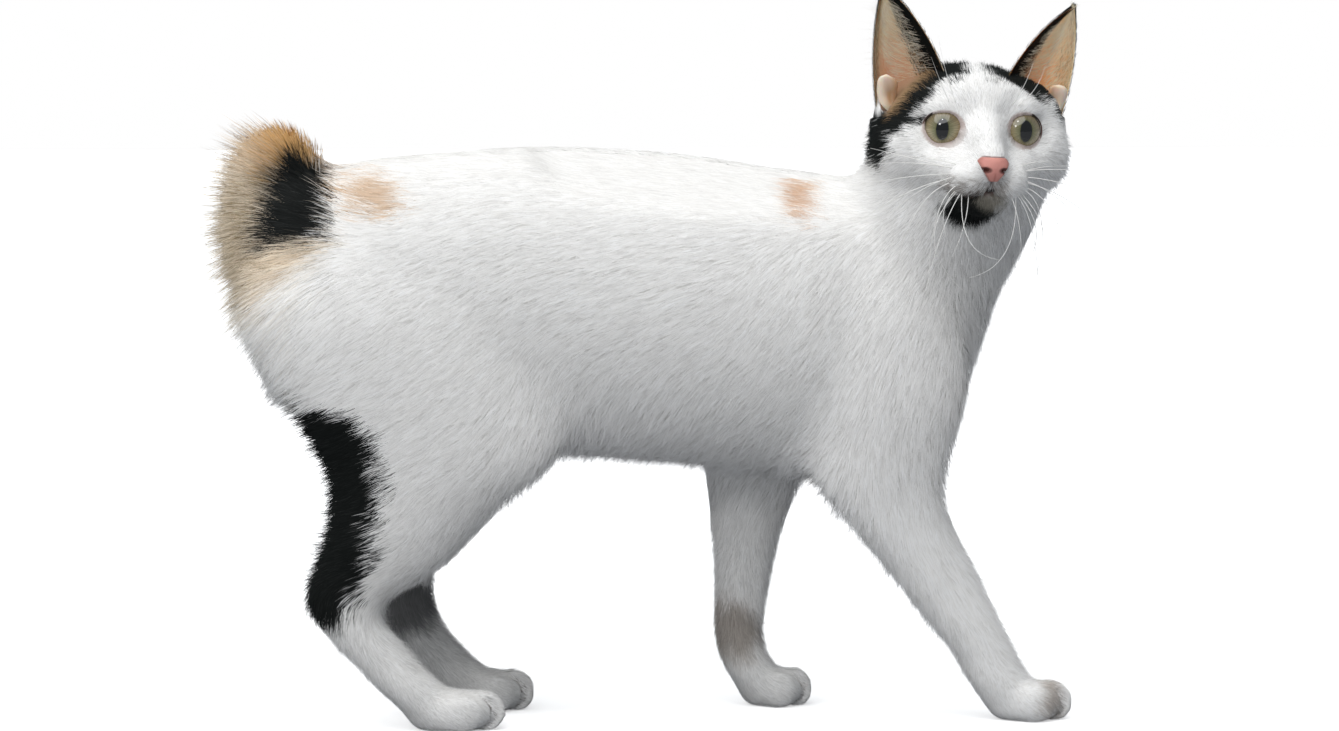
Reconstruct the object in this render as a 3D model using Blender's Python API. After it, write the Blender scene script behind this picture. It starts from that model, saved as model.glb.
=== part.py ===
"""A life-size Japanese bobtail cat, walking, with its head turned to its right.

The cat faces +X, its left side is +Y, and it stands on the floor at Z = 0.
Sizes in the tables are millimetres, and every mesh is built in metres.
"""

import math

import bmesh
import bpy
from mathutils import Matrix, Vector

# Driving dimensions, in millimetres. The coat is included in every outline.
BACK_HEIGHT = 282.0
GAP = 0.3
BODY_VOXEL = 3.6
HEAD_VOXEL = 1.5
PAW_VOXEL = 1.4
BODY_TRIANGLES = 4600
HEAD_TRIANGLES = 2800
PAW_TRIANGLES = 400
RING_SIDES = 28
STEPS_PER_SPAN = 4

# The torso is a row of upright ovals: x, top, bottom, half width.
TORSO = (
    (-204, 236, 186, 20),
    (-196, 256, 166, 36),
    (-178, 267, 150, 47),
    (-150, 275, 140, 53),
    (-110, 279, 133, 55),
    (-70, 281.5, 129, 55),
    (-30, BACK_HEIGHT, 127, 57),
    (10, 279.5, 124, 59),
    (50, 272, 119, 58),
    (85, 267, 117, 53),
    (112, 254, 120, 46),
    (134, 232, 136, 34),
)

# Neck, throat and chest are level ovals: z, back, front, middle y, half width.
NECK = (
    (122, 62, 130, 0, 27),
    (138, 60, 139, 0, 36),
    (160, 60, 147, 0, 43),
    (183, 60, 155, 0, 46),
    (205, 62, 162, 0, 45),
    (222, 66, 171, -1, 43),
    (236, 73, 179, -2, 42),
    (252, 82, 184, -5, 40),
    (268, 92, 182, -8, 37),
    (284, 104, 170, -9, 32),
)

# Legs are level ovals in the same columns, for the leg that the name gives.
LEGS = {
    "foreleg_right": (
        (236, 74, 116, -28, 13),
        (205, 62, 138, -34, 19),
        (165, 60, 145, -35, 21),
        (135, 65, 137, -33, 20),
        (119, 69, 133, -31, 18.5),
        (105, 81, 134, -30, 17),
        (91, 92, 140, -29, 15.5),
        (65, 112.5, 154, -28, 13.5),
        (36, 134, 167.5, -28, 12.5),
        (20, 144, 175, -28, 13),
        (6, 153, 182, -28, 12),
    ),
    "foreleg_left": (
        (236, 66, 110, 28, 13),
        (205, 46, 124, 34, 19),
        (165, 20, 106, 35, 21),
        (135, 17, 86, 34, 20),
        (119, 19.5, 74, 33, 18),
        (101, 21.5, 65, 32, 15.5),
        (85, 23, 59.5, 31.5, 14),
        (68, 24, 55.5, 31, 13),
        (52, 24, 52.5, 30.5, 12.5),
        (38, 24, 50, 30, 12.5),
        (29, 26, 51.5, 30, 13),
        (18, 31, 56, 30, 13.5),
        (6, 38, 62, 30, 12),
    ),
    "hindleg_right": (
        (240, -188, -104, -27, 20),
        (208, -210, -76, -33, 27),
        (184, -203, -64, -35, 28),
        (155, -184, -54, -37, 26),
        (138, -175, -50, -38, 24),
        (125, -169, -58, -39, 21.5),
        (111, -167.5, -79, -39, 19),
        (97, -169.5, -93, -38.5, 17),
        (87, -173, -102, -38, 15.5),
        (76, -178, -114, -37.5, 14),
        (68, -181, -129, -37.5, 13),
        (61, -181.5, -140, -37.5, 12.5),
        (54, -176.5, -141, -37.5, 12.5),
        (43, -168, -132, -37.5, 12.5),
        (24, -149, -115, -37.5, 13),
        (6, -130, -100, -37.5, 13),
    ),
    "hindleg_left": (
        (240, -188, -104, 27, 20),
        (208, -207, -76, 33, 27),
        (184, -197, -64, 35, 28),
        (155, -175, -54, 36, 26),
        (138, -165, -52, 36, 24),
        (125, -157, -62, 36, 21.5),
        (111, -152, -81, 34, 19),
        (97, -150, -95, 32, 17),
        (87, -152, -104, 30, 15.5),
        (76, -156, -111.5, 28, 14),
        (66, -158.5, -113.5, 27, 13),
        (54, -155, -113.5, 26, 12.5),
        (40, -144, -106.5, 25.5, 12.5),
        (20, -124, -89, 25, 13),
        (6, -109, -76, 25, 13),
    ),
}

# Each paw: heel x, toe-tip x, middle y, half width, height at the knuckles.
PAWS = {
    "paw_fore_right": (153, 196, -28.5, 17, 20),
    "paw_fore_left": (37, 74.5, 30.5, 16.5, 19.5),
    "paw_hind_right": (-132, -82.5, -38, 16.5, 20),
    "paw_hind_left": (-110, -65, 25.5, 16.5, 21),
}
PAW_OF_LEG = dict(zip(LEGS, PAWS))

# The four toes of a paw: place across in half widths, distance back from the tip, and size.
TOES = ((-0.7, 0.36, 0.94), (-0.25, 0.14, 1.0), (0.25, 0.14, 1.0), (0.7, 0.36, 0.94))

# Where each leg leaves the torso: z, back, front and inner y of a block, and the side it is on.
FORE_LEVELS = ((-20, -10, 200, 8), (112, 4, 200, 8), (150, 14, 200, 22), (226, 52, 200, 50))
HIND_LEVELS = ((-20, -240, -40, 8), (112, -240, -40, 8), (150, -240, -44, 22), (226, -240, -86, 50))
LIMB_CELLS = {
    "foreleg_right": (FORE_LEVELS, -1),
    "foreleg_left": (FORE_LEVELS, 1),
    "hindleg_right": (HIND_LEVELS, -1),
    "hindleg_left": (HIND_LEVELS, 1),
}
WRIST_HEIGHT = 27.0

# Where the cuts pass: between head and neck, in the head's axes, and between neck and torso.
THROAT_AND_NAPE = ((-16, 0, -47), (-82, 0, -12))
SHOULDER_AT = (102, 0, 236)
SHOULDER_LEAN = (0.75, 0, 0.66)

# The head's own axes: forward along the nose, left, up, from midway between the eyes.
HEAD_AT = (147.3, -50.0, 289.7)
HEAD_YAW = -85.5
HEAD_ROLL = 3.2

# Masses of the head: centre (forward, left, up), radii; paired ones give the left side.
HEAD_MIDDLE = {
    "cranium": ((-37, 0, 4), (40, 40, 28)),
    "forehead": ((-20, 0, 10), (22, 27, 19)),
    "face": ((-17, 0, -8), (26, 30, 26)),
    "jaw": ((-13, 0, -30), (25, 22, 13)),
    "bridge_top": ((-3, 0, 0), (12, 8.5, 13)),
    "bridge": ((8, 0, -7), (14, 9, 11)),
    "nose_end": ((17, 0, -14.5), (11, 8.5, 9)),
    "chin": ((9, 0, -36), (11, 10, 7.5)),
    "nape": ((-52, 0, -14), (30, 34, 30)),
}
HEAD_PAIRED = {
    "temple": ((-34, 24, 2), (25, 26, 25)),
    "cheek": ((-26, 25.5, -11.5), (26, 24.5, 22)),
    "brow": ((-12, 16, 10), (14, 15, 10)),
    "cheekbone": ((-6, 16, -19), (17, 14, 12)),
    "muzzle_side": ((5, 10, -22), (16, 12, 12)),
    "whisker_pad": ((13, 9, -24.5), (13.5, 11.5, 9.5)),
}

# Eyes: globe centres and radius, and the almond opening between the lids. 1 is left, -1 right.
EYE_AT = {1: (-9.8, 16.8, 0.0), -1: (-9.8, -16.8, -1.2)}
EYE_RADIUS = 11.0
LID_RADIUS = 12.4
EYE_OUTWARD = 19.0
OPENING_HALF = (10.0, 7.8)
OPENING_SLANT = 8.0

# The bare nose: a wedge at the end of the muzzle, with a nostril on each side.
NOSE_AT = (22.5, 0.0, -18.6)
NOSE_RADII = (7.6, 8.6, 8.0)

# The mouth's line, from under the nose out to the corner, as left and up in the head's axes.
MOUTH_LINE = ((0, -24.5), (0, -29.5), (5, -32), (11, -32.6), (16.5, -31), (19.5, -29.5))
MOUTH_GROOVE = 0.85

# Ears: the inner edge, the middle of the back and the outer edge, each from root to tip.
EAR_EDGES = {
    "ear_left": (
        ((-22, 12, 18), (-21, 25, 48), (-26, 47.3, 61.5)),
        ((-56, 30, 2), (-48, 42, 40), (-27, 47.5, 61.7)),
        ((-34, 43, -5), (-29, 54, 31), (-26.5, 48.2, 61.2)),
    ),
    "ear_right": (
        ((-22, -12, 18), (-21, -25, 50), (-26, -46.8, 66.5)),
        ((-56, -30, 2), (-48, -42, 42), (-27, -47, 66.8)),
        ((-34, -43, -5), (-29, -54, 33), (-26.5, -47.8, 66.2)),
    ),
}
EAR_THICKNESS = 2.0

# The bobbed tail: a short hooked core, and the long locks that fan out from it.
TAIL_CORE = (
    ((-161, 0, 238), 10),
    ((-170, 0, 255), 12.5),
    ((-180, 0, 269), 14.5),
    ((-191, 0, 272), 15.5),
    ((-199, 0, 260), 16),
    ((-202, 0, 243), 15),
    ((-201, 0, 227), 13),
    ((-198, 0, 214), 9.5),
)
FIRST_LOCKS_AT = 0.2
LOCK_RINGS = 12
LOCKS_PER_RING = 9
LOCK_LENGTH = 22.0
LOCK_HALF_WIDTH = 5.0
LOCK_HALF_THICKNESS = 1.0


def metres(*sizes):
    """A point or size given in millimetres, in metres."""
    return Vector(sizes) * 0.001


def clear_scene():
    for old in list(bpy.data.objects):
        bpy.data.objects.remove(old)


def coat_material(name, colour, roughness):
    """A Principled BSDF with one colour and roughness, for one finish of the cat."""
    made = bpy.data.materials.new(name)
    made.use_nodes = True
    shader = made.node_tree.nodes["Principled BSDF"]
    shader.inputs["Base Color"].default_value = (*colour, 1)
    shader.inputs["Roughness"].default_value = roughness
    shader.inputs["Metallic"].default_value = 0.0
    made.diffuse_color = (*colour, 1)
    return made


def object_from(mesh, name):
    """Links a bmesh to the scene as a new object of that name, and frees it."""
    data = bpy.data.meshes.new(name)
    mesh.to_mesh(data)
    mesh.free()
    made = bpy.data.objects.new(name, data)
    bpy.context.scene.collection.objects.link(made)
    return made


def applied(made):
    """Gives the object the mesh that its modifiers make, and drops them."""
    graph = bpy.context.evaluated_depsgraph_get()
    graph.update()
    data = bpy.data.meshes.new_from_object(made.evaluated_get(graph))
    made.modifiers.clear()
    made.data = data
    return made


def joined(pieces, name):
    """One object holding the faces of all the pieces, which are removed."""
    whole = bmesh.new()
    for piece in pieces:
        whole.from_mesh(piece.data)
        bpy.data.objects.remove(piece)
    return object_from(whole, name)


def oval_ring(mesh, centre, across, along):
    """One ring of a loft: an oval with the two half axes given as vectors."""
    turns = [2 * math.pi * i / RING_SIDES for i in range(RING_SIDES)]
    return [mesh.verts.new(centre + across * math.cos(t) + along * math.sin(t)) for t in turns]


def lofted(rings, name):
    """A closed tube over rings of (centre, across, along), with a domed fan at each end."""
    mesh = bmesh.new()
    loops = [oval_ring(mesh, *ring) for ring in rings]
    for low, high in zip(loops, loops[1:]):
        for i in range(RING_SIDES):
            j = (i + 1) % RING_SIDES
            mesh.faces.new((low[i], low[j], high[j], high[i]))
    for loop, ring in ((loops[0], rings[0]), (loops[-1], rings[-1])):
        pole = mesh.verts.new(ring[0])
        for i in range(RING_SIDES):
            mesh.faces.new((loop[i], loop[(i + 1) % RING_SIDES], pole))
    bmesh.ops.recalc_face_normals(mesh, faces=mesh.faces)
    return object_from(mesh, name)


def smooth_rows(rows):
    """Catmull-Rom rows between the given ones, so that a loft has no corners."""
    found = []
    for i in range(len(rows) - 1):
        before, start = rows[max(i - 1, 0)], rows[i]
        end, after = rows[i + 1], rows[min(i + 2, len(rows) - 1)]
        for step in range(STEPS_PER_SPAN):
            t = step / STEPS_PER_SPAN
            found.append(
                [
                    b + 0.5 * t * (c - a + t * (2 * a - 5 * b + 4 * c - d + t * (3 * (b - c) + d - a)))
                    for a, b, c, d in zip(before, start, end, after)
                ]
            )
    return found + [list(rows[-1])]


def upright_loft(rows, name):
    """A loft of upright ovals from rows of x, top, bottom, half width."""
    rings = [
        (
            metres(x, 0, (top + bottom) / 2),
            metres(0, half, 0),
            metres(0, 0, (top - bottom) / 2),
        )
        for x, top, bottom, half in smooth_rows(rows)
    ]
    return lofted(rings, name)


def level_loft(rows, name):
    """A loft of level ovals from rows of z, back, front, middle y, half width."""
    rings = [
        (
            metres((back + front) / 2, middle, z),
            metres((front - back) / 2, 0, 0),
            metres(0, half, 0),
        )
        for z, back, front, middle, half in smooth_rows(rows)
    ]
    return lofted(rings, name)


def ellipsoid(name, centre, radii, frame=None, detail=3):
    """A ball stretched to three radii, in a frame's axes if one is given."""
    mesh = bmesh.new()
    bmesh.ops.create_icosphere(mesh, subdivisions=detail, radius=1.0)
    place = Matrix.Translation(metres(*centre)) @ Matrix.Diagonal((*metres(*radii), 1))
    mesh.transform((frame or Matrix()) @ place)
    return object_from(mesh, name)


def head_frame():
    """The matrix from the head's axes to the body's: yaw, then roll about the nose."""
    turn = Matrix.Rotation(math.radians(HEAD_YAW), 4, "Z")
    lean = Matrix.Rotation(math.radians(HEAD_ROLL), 4, "X")
    return Matrix.Translation(metres(*HEAD_AT)) @ turn @ lean.inverted()


def remeshed(made, voxel, rounds):
    """Fuses overlapping closed pieces into one skin, and lets it relax into soft joins."""
    fuse = made.modifiers.new("fuse", "REMESH")
    fuse.mode = "VOXEL"
    fuse.voxel_size = voxel * 0.001
    relax = made.modifiers.new("relax", "SMOOTH")
    relax.factor = 0.5
    relax.iterations = rounds
    return applied(made)


def thinned(made, triangles):
    """Collapses the mesh to about that many triangles."""
    made.data.calc_loop_triangles()
    fewer = made.modifiers.new("fewer", "DECIMATE")
    fewer.ratio = min(1.0, triangles / len(made.data.loop_triangles))
    fewer.use_collapse_triangulate = True
    return applied(made)


def largest_surface(made):
    """Keeps the closed surface with the most volume, and drops the rest."""
    mesh = bmesh.new()
    mesh.from_mesh(made.data)
    todo, islands = set(mesh.faces), []
    while todo:
        stack = [todo.pop()]
        island = list(stack)
        while stack:
            for edge in stack.pop().edges:
                for face in edge.link_faces:
                    if face in todo:
                        todo.remove(face)
                        stack.append(face)
                        island.append(face)
        islands.append(island)
    keep = max(islands, key=lambda island: abs(island_volume(island)))
    if len(islands) > 1:
        drop = [face for island in islands if island is not keep for face in island]
        bmesh.ops.delete(mesh, geom=drop, context="FACES")
    mesh.to_mesh(made.data)
    mesh.free()
    return made


def island_volume(faces):
    """The signed volume inside a closed set of faces, by the divergence theorem."""
    total = 0.0
    for face in faces:
        corners = [v.co for v in face.verts]
        for second, third in zip(corners[1:], corners[2:]):
            total += corners[0].dot(second.cross(third)) / 6
    return total


def boolean(made, operation, *others, solver="EXACT"):
    """Joins, cuts or crosses the object with the others, one after another."""
    for other in others:
        step = made.modifiers.new(operation.lower(), "BOOLEAN")
        step.operation = operation
        step.solver = solver
        step.object = other
        applied(made)
    return made


def discard(*helpers):
    for helper in helpers:
        bpy.data.objects.remove(helper)


def copy_of(made, name):
    twin = made.copy()
    twin.data = made.data.copy()
    twin.name = name
    bpy.context.scene.collection.objects.link(twin)
    return twin


def swollen(made, by):
    """A copy whose surface stands out by that many millimetres, used to cut a gap."""
    twin = copy_of(made, made.name + "_swollen")
    push = twin.modifiers.new("push", "DISPLACE")
    push.strength = by * 0.001
    push.mid_level = 0.0
    return applied(twin)


def half_space(name, point, normal, reach=400):
    """A big block whose one face passes through the point, on the side the normal points to."""
    mesh = bmesh.new()
    bmesh.ops.create_cube(mesh, size=reach * 0.001)
    turn = Vector(normal).to_track_quat("Z", "Y").to_matrix().to_4x4()
    lift = Matrix.Translation((0, 0, reach * 0.0005))
    mesh.transform(Matrix.Translation(metres(*point)) @ turn @ lift)
    return object_from(mesh, name)


def torso_mass():
    return upright_loft(TORSO, "torso_mass")


def neck_mass():
    return level_loft(NECK, "neck_mass")


def head_masses(frame):
    """The big forms of the head, as overlapping balls in the head's axes."""
    found = [ellipsoid(name, *form, frame) for name, form in HEAD_MIDDLE.items()]
    for name, ((forward, left, up), radii) in HEAD_PAIRED.items():
        for side in (1, -1):
            found.append(ellipsoid(name, (forward, side * left, up), radii, frame))
    return found


def lid_masses(frame):
    """The bulge of the closed lids over each eye, a little larger than the globe."""
    return [ellipsoid("lid_mass", place, (LID_RADIUS,) * 3, frame) for place in EYE_AT.values()]


def body_block(frame):
    """Torso, neck and legs, blended into one skin, with the head's masses under it."""
    pieces = [torso_mass(), neck_mass(), *head_masses(frame)]
    pieces += [level_loft(rows, leg + "_mass") for leg, rows in LEGS.items()]
    block = remeshed(joined(pieces, "body_block"), BODY_VOXEL, 7)
    return thinned(block, BODY_TRIANGLES)


def head_block(frame):
    """The head and the top of the neck, at a finer grain than the body."""
    pieces = [neck_mass(), *head_masses(frame)]
    block = remeshed(joined(pieces, "head_block"), HEAD_VOXEL, 16)
    low_end = half_space("low_end", (0, 0, 225), (0, 0, -1))
    boolean(block, "DIFFERENCE", low_end, solver="MANIFOLD")
    thinned(block, HEAD_TRIANGLES)
    lids = lid_masses(frame)
    boolean(block, "UNION", *lids)
    discard(low_end, *lids)
    return block


def paw_masses(heel, tip, middle, half, height):
    """The ball of a paw and its four toes, the two middle ones ahead of the outer ones."""
    length = tip - heel
    found = [
        ellipsoid(
            "ball",
            (heel + 0.42 * length, middle, 0.42 * height),
            (0.42 * length, 0.80 * half, 0.60 * height),
        )
    ]
    for place, reach, size in TOES:
        found.append(
            ellipsoid(
                "toe",
                (tip - (reach + 0.12) * length, middle + place * half, 0.44 * height),
                (0.27 * length * size, 0.29 * half, 0.56 * height * size),
            )
        )
    return found


def paw(name, leg):
    """One paw: toes and ball fused to the leg's lower end, flat where it bears on the floor."""
    pieces = paw_masses(*PAWS[name])
    low_rows = [row for row in LEGS[leg] if row[0] < 1.9 * WRIST_HEIGHT]
    pieces.append(level_loft(low_rows, "low_leg"))
    made = remeshed(joined(pieces, name), PAW_VOXEL, 1)
    thinned(made, PAW_TRIANGLES)
    floor = half_space("floor", (0, 0, 0), (0, 0, -1))
    wrist = half_space("wrist", (0, 0, WRIST_HEIGHT - GAP / 2), (0, 0, 1))
    boolean(made, "DIFFERENCE", floor, wrist)
    discard(floor, wrist)
    return largest_surface(made)


def almond_cutter(frame, side):
    """A prism with the almond outline of the opening between the lids, wider outwards."""
    half_width, half_height = OPENING_HALF
    mesh = bmesh.new()
    sides = 20
    loops = []
    for depth, flare in ((0.5, 0.96), (0.95, 1.0), (1.9, 1.5)):
        loop = []
        for i in range(sides):
            t = 2 * math.pi * i / sides
            inner = max(0.0, -math.cos(t)) ** 3
            across = half_width * math.cos(t) - 1.0 * inner
            rise = half_height * math.sin(t) - 2.2 * inner
            loop.append(mesh.verts.new(metres(EYE_RADIUS * depth, across * flare, rise * flare)))
        loops.append(loop)
    for low, high in zip(loops, loops[1:]):
        for i in range(sides):
            j = (i + 1) % sides
            mesh.faces.new((low[i], low[j], high[j], high[i]))
    mesh.faces.new(loops[0])
    mesh.faces.new(loops[-1])
    if side < 0:
        mesh.transform(Matrix.Diagonal((1, -1, 1, 1)))
    bmesh.ops.recalc_face_normals(mesh, faces=mesh.faces)
    turn = Matrix.Rotation(math.radians(side * EYE_OUTWARD), 4, "Z")
    slant = Matrix.Rotation(math.radians(side * OPENING_SLANT), 4, "X")
    mesh.transform(frame @ Matrix.Translation(metres(*EYE_AT[side])) @ turn @ slant)
    return object_from(mesh, "almond")


def eye(name, frame, side):
    """The globe of one eye."""
    return ellipsoid(name, EYE_AT[side], (EYE_RADIUS,) * 3, frame)


def bare_nose(frame):
    """The hairless tip of the nose: a rounded wedge, narrow at the lip, with two nostrils."""
    made = ellipsoid("nose", NOSE_AT, NOSE_RADII, frame)
    mesh = bmesh.new()
    half_outline = ((6.0, 5.4), (7.7, 3.4), (5.8, -0.6), (1.8, -6.0))
    outline = (*half_outline, *((-left, rise) for left, rise in reversed(half_outline)))
    forward, _, up = NOSE_AT
    back, front = (
        [mesh.verts.new(metres(forward + depth, left, up + rise)) for left, rise in outline]
        for depth in (-1.5, 14)
    )
    for i in range(len(outline)):
        j = (i + 1) % len(outline)
        mesh.faces.new((back[i], back[j], front[j], front[i]))
    mesh.faces.new(back)
    mesh.faces.new(front)
    bmesh.ops.recalc_face_normals(mesh, faces=mesh.faces)
    mesh.transform(frame)
    wedge = object_from(mesh, "wedge")
    boolean(made, "INTERSECT", wedge)
    nostrils = []
    for side in (1, -1):
        slit = (forward + 6.2, side * 4.6, up - 0.6)
        nostrils.append(ellipsoid("nostril", slit, (3.0, 1.9, 1.1), frame, 2))
    boolean(made, "DIFFERENCE", *nostrils)
    discard(wedge, *nostrils)
    return made


def groove(made, frame):
    """Sinks the line of the mouth into the head, along the surface of muzzle and lips."""
    inverse = frame.inverted()
    for side in (1, -1):
        rows = smooth_rows([list(point) for point in MOUTH_LINE])
        points = []
        for left, up in rows:
            start = frame @ metres(60, side * left, up)
            ahead = (frame.to_3x3() @ Vector((-1, 0, 0))).normalized()
            hit, place, _, _ = made.ray_cast(start, ahead)
            if hit:
                points.append(inverse @ place)
        curve = bpy.data.curves.new("lip_line", "CURVE")
        curve.dimensions = "3D"
        curve.bevel_depth = MOUTH_GROOVE * 0.001
        curve.bevel_resolution = 0
        curve.use_fill_caps = True
        spline = curve.splines.new("POLY")
        spline.points.add(len(points) - 1)
        for slot, point in zip(spline.points, points):
            slot.co = (*(frame @ point), 1)
        line = bpy.data.objects.new("lip_line", curve)
        bpy.context.scene.collection.objects.link(line)
        graph = bpy.context.evaluated_depsgraph_get()
        graph.update()
        tube = bpy.data.meshes.new_from_object(line.evaluated_get(graph))
        discard(line)
        cutter = bpy.data.objects.new("lip_cutter", tube)
        bpy.context.scene.collection.objects.link(cutter)
        boolean(made, "DIFFERENCE", cutter)
        discard(cutter)
    return made


def ear(name, edges, frame):
    """A cupped ear: at each height an arc through the inner edge, the back and the outer edge."""
    rows, columns = 11, 9
    curves = []
    for root, bend, tip in edges:
        a, b, c = (Vector(point) for point in (root, bend, tip))
        shape = []
        for i in range(rows):
            t = i / (rows - 1)
            shape.append(a * (1 - t) ** 2 + b * 2 * t * (1 - t) + c * t**2)
        curves.append(shape)
    mesh = bmesh.new()
    grid = []
    for inner, back, outer in zip(*curves):
        line = []
        for j in range(columns):
            s = 2 * j / (columns - 1) - 1
            point = inner * (s * (s - 1) / 2) + back * (1 - s * s) + outer * (s * (s + 1) / 2)
            line.append(mesh.verts.new(metres(*point)))
        grid.append(line)
    for low, high in zip(grid, grid[1:]):
        for j in range(columns - 1):
            mesh.faces.new((low[j], low[j + 1], high[j + 1], high[j]))
    mesh.transform(frame)
    bmesh.ops.recalc_face_normals(mesh, faces=mesh.faces)
    made = object_from(mesh, name)
    wall = made.modifiers.new("wall", "SOLIDIFY")
    wall.thickness = EAR_THICKNESS * 0.001
    wall.offset = 0.0
    return applied(made)


def tail_point(share):
    """Centre, direction and radius of the tail's core at a share of its length."""
    rows = smooth_rows([(*point, radius) for point, radius in TAIL_CORE])
    place = share * (len(rows) - 1)
    i = min(int(place), len(rows) - 2)
    mix = place - i
    row = [a + (b - a) * mix for a, b in zip(rows[i], rows[i + 1])]
    along = (Vector(rows[i + 1][:3]) - Vector(rows[i][:3])).normalized()
    return Vector(row[:3]), along, row[3]


def tail_core():
    """The short, hooked tail under its hair, as one closed loft."""
    rings = []
    steps = 16
    for i in range(steps + 1):
        centre, along, radius = tail_point(i / steps)
        radius *= math.sqrt(max(0.12, 1 - (i / steps) ** 6))
        side = Vector((0, 1, 0))
        up = along.cross(side).normalized()
        rings.append((metres(*centre), metres(*(side * radius)), metres(*(up * radius))))
    return lofted(rings, "tail")


def lock(root, heading, flat, length, bend):
    """A flat, tapered lock: a diamond section carried along a bent line to a point."""
    stations = ((0.0, 0.75), (0.28, 1.0), (0.58, 0.82), (0.82, 0.45))
    mesh = bmesh.new()
    loops = []
    side = flat.cross(heading).normalized()
    for share, width in stations:
        centre = root + heading * (length * share) + bend * (share * share)
        wide = side * LOCK_HALF_WIDTH * width
        thick = flat * LOCK_HALF_THICKNESS * (1 - 0.5 * share)
        loops.append([mesh.verts.new(metres(*(centre + d))) for d in (wide, thick, -wide, -thick)])
    tip = mesh.verts.new(metres(*(root + heading * length + bend)))
    for low, high in zip(loops, loops[1:]):
        for i in range(4):
            j = (i + 1) % 4
            mesh.faces.new((low[i], low[j], high[j], high[i]))
    mesh.faces.new(loops[0])
    for i in range(4):
        mesh.faces.new((loops[-1][i], loops[-1][(i + 1) % 4], tip))
    bmesh.ops.recalc_face_normals(mesh, faces=mesh.faces)
    return object_from(mesh, "lock")


def tail_locks():
    """The pompon's locks, in rings along the core, none where the core lies on the rump."""
    found = []
    side = Vector((0, 1, 0))
    for ring in range(LOCK_RINGS):
        share = FIRST_LOCKS_AT + (1 - FIRST_LOCKS_AT) * ring / (LOCK_RINGS - 1)
        centre, along, radius = tail_point(share)
        up = along.cross(side).normalized()
        for k in range(LOCKS_PER_RING):
            turn = 2 * math.pi * (k + 0.5 * (ring % 2)) / LOCKS_PER_RING
            out = (side * math.cos(turn) + up * math.sin(turn)).normalized()
            if out.x > 0.45 and share > 0.4:
                continue
            sway = 0.17 * math.sin(2.3 * ring + 1.7 * k)
            lie = (out * 0.9 + along * 0.55 + side * sway).normalized()
            flat = (out - lie * out.dot(lie)).normalized()
            length = LOCK_LENGTH * (0.92 + 0.14 * math.sin(1.9 * ring + 2.6 * k))
            bend = along * 5.0 - out * 3.5
            found.append(lock(centre + out * radius * 0.45, lie, flat, length, bend))
    return found


def tail():
    """The pompon of the tail: overlapping locks that fan out from the core."""
    made = tail_core()
    locks = bpy.data.collections.new("locks")
    bpy.context.scene.collection.children.link(locks)
    for piece in tail_locks():
        bpy.context.scene.collection.objects.unlink(piece)
        locks.objects.link(piece)
    union = made.modifiers.new("locks", "BOOLEAN")
    union.operation = "UNION"
    union.operand_type = "COLLECTION"
    union.collection = locks
    union.solver = "MANIFOLD"
    applied(made)
    discard(*locks.objects)
    bpy.data.collections.remove(locks)
    return made


def cut_limbs(block, nodes):
    """Parts the legs from the torso along a face that leans out from belly to flank."""
    for leg, (levels, side) in LIMB_CELLS.items():
        cell = limb_cell(leg + "_cell", levels, side, 0)
        wide = limb_cell(leg + "_wide", levels, side, GAP)
        nodes[leg] = boolean(copy_of(block, leg), "INTERSECT", cell)
        boolean(block, "DIFFERENCE", wide)
        foot = half_space("foot", (0, 0, WRIST_HEIGHT + GAP / 2), (0, 0, -1))
        boolean(nodes[leg], "DIFFERENCE", foot)
        discard(cell, wide, foot)
        largest_surface(nodes[leg])
    return largest_surface(block)


def limb_cell(name, levels, side, grow):
    """A block around one leg, in level slices of z, back, front and the inner face's y."""
    mesh = bmesh.new()
    loops = []
    for level, (z, back, front, inner) in enumerate(levels):
        z += grow * (level == len(levels) - 1)
        corners = ((back, inner - grow), (front + grow, inner - grow), (front + grow, 130), (back, 130))
        loops.append([mesh.verts.new(metres(x - grow * (x == back), side * y, z)) for x, y in corners])
    for low, high in zip(loops, loops[1:]):
        for i in range(4):
            j = (i + 1) % 4
            mesh.faces.new((low[i], low[j], high[j], high[i]))
    mesh.faces.new(loops[0])
    mesh.faces.new(loops[-1])
    bmesh.ops.recalc_face_normals(mesh, faces=mesh.faces)
    return object_from(mesh, name)


def part_body(frame):
    """The blended body, parted into torso, neck and legs by thin cuts."""
    nodes = {}
    block = body_block(frame)
    throat, nape = (frame @ metres(*point) for point in THROAT_AND_NAPE)
    across = frame.to_3x3() @ Vector((0, 1, 0))
    facing = across.cross(nape - throat).normalized()
    if facing.z < 0:
        facing = -facing
    collar = tuple(1000 * throat)
    above = half_space("above", collar, facing)
    boolean(block, "DIFFERENCE", above)
    low = tuple(a - GAP / 2 * b for a, b in zip(SHOULDER_AT, SHOULDER_LEAN))
    high = tuple(a + GAP / 2 * b for a, b in zip(SHOULDER_AT, SHOULDER_LEAN))
    front = half_space("front", low, SHOULDER_LEAN)
    back = half_space("back", high, tuple(-b for b in SHOULDER_LEAN))
    nodes["neck"] = largest_surface(boolean(copy_of(block, "neck"), "DIFFERENCE", back))
    boolean(block, "DIFFERENCE", front)
    discard(above, front, back)
    nodes["torso"] = cut_limbs(block, nodes)
    nodes["torso"].name = "torso"
    return nodes, collar, facing


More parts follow.
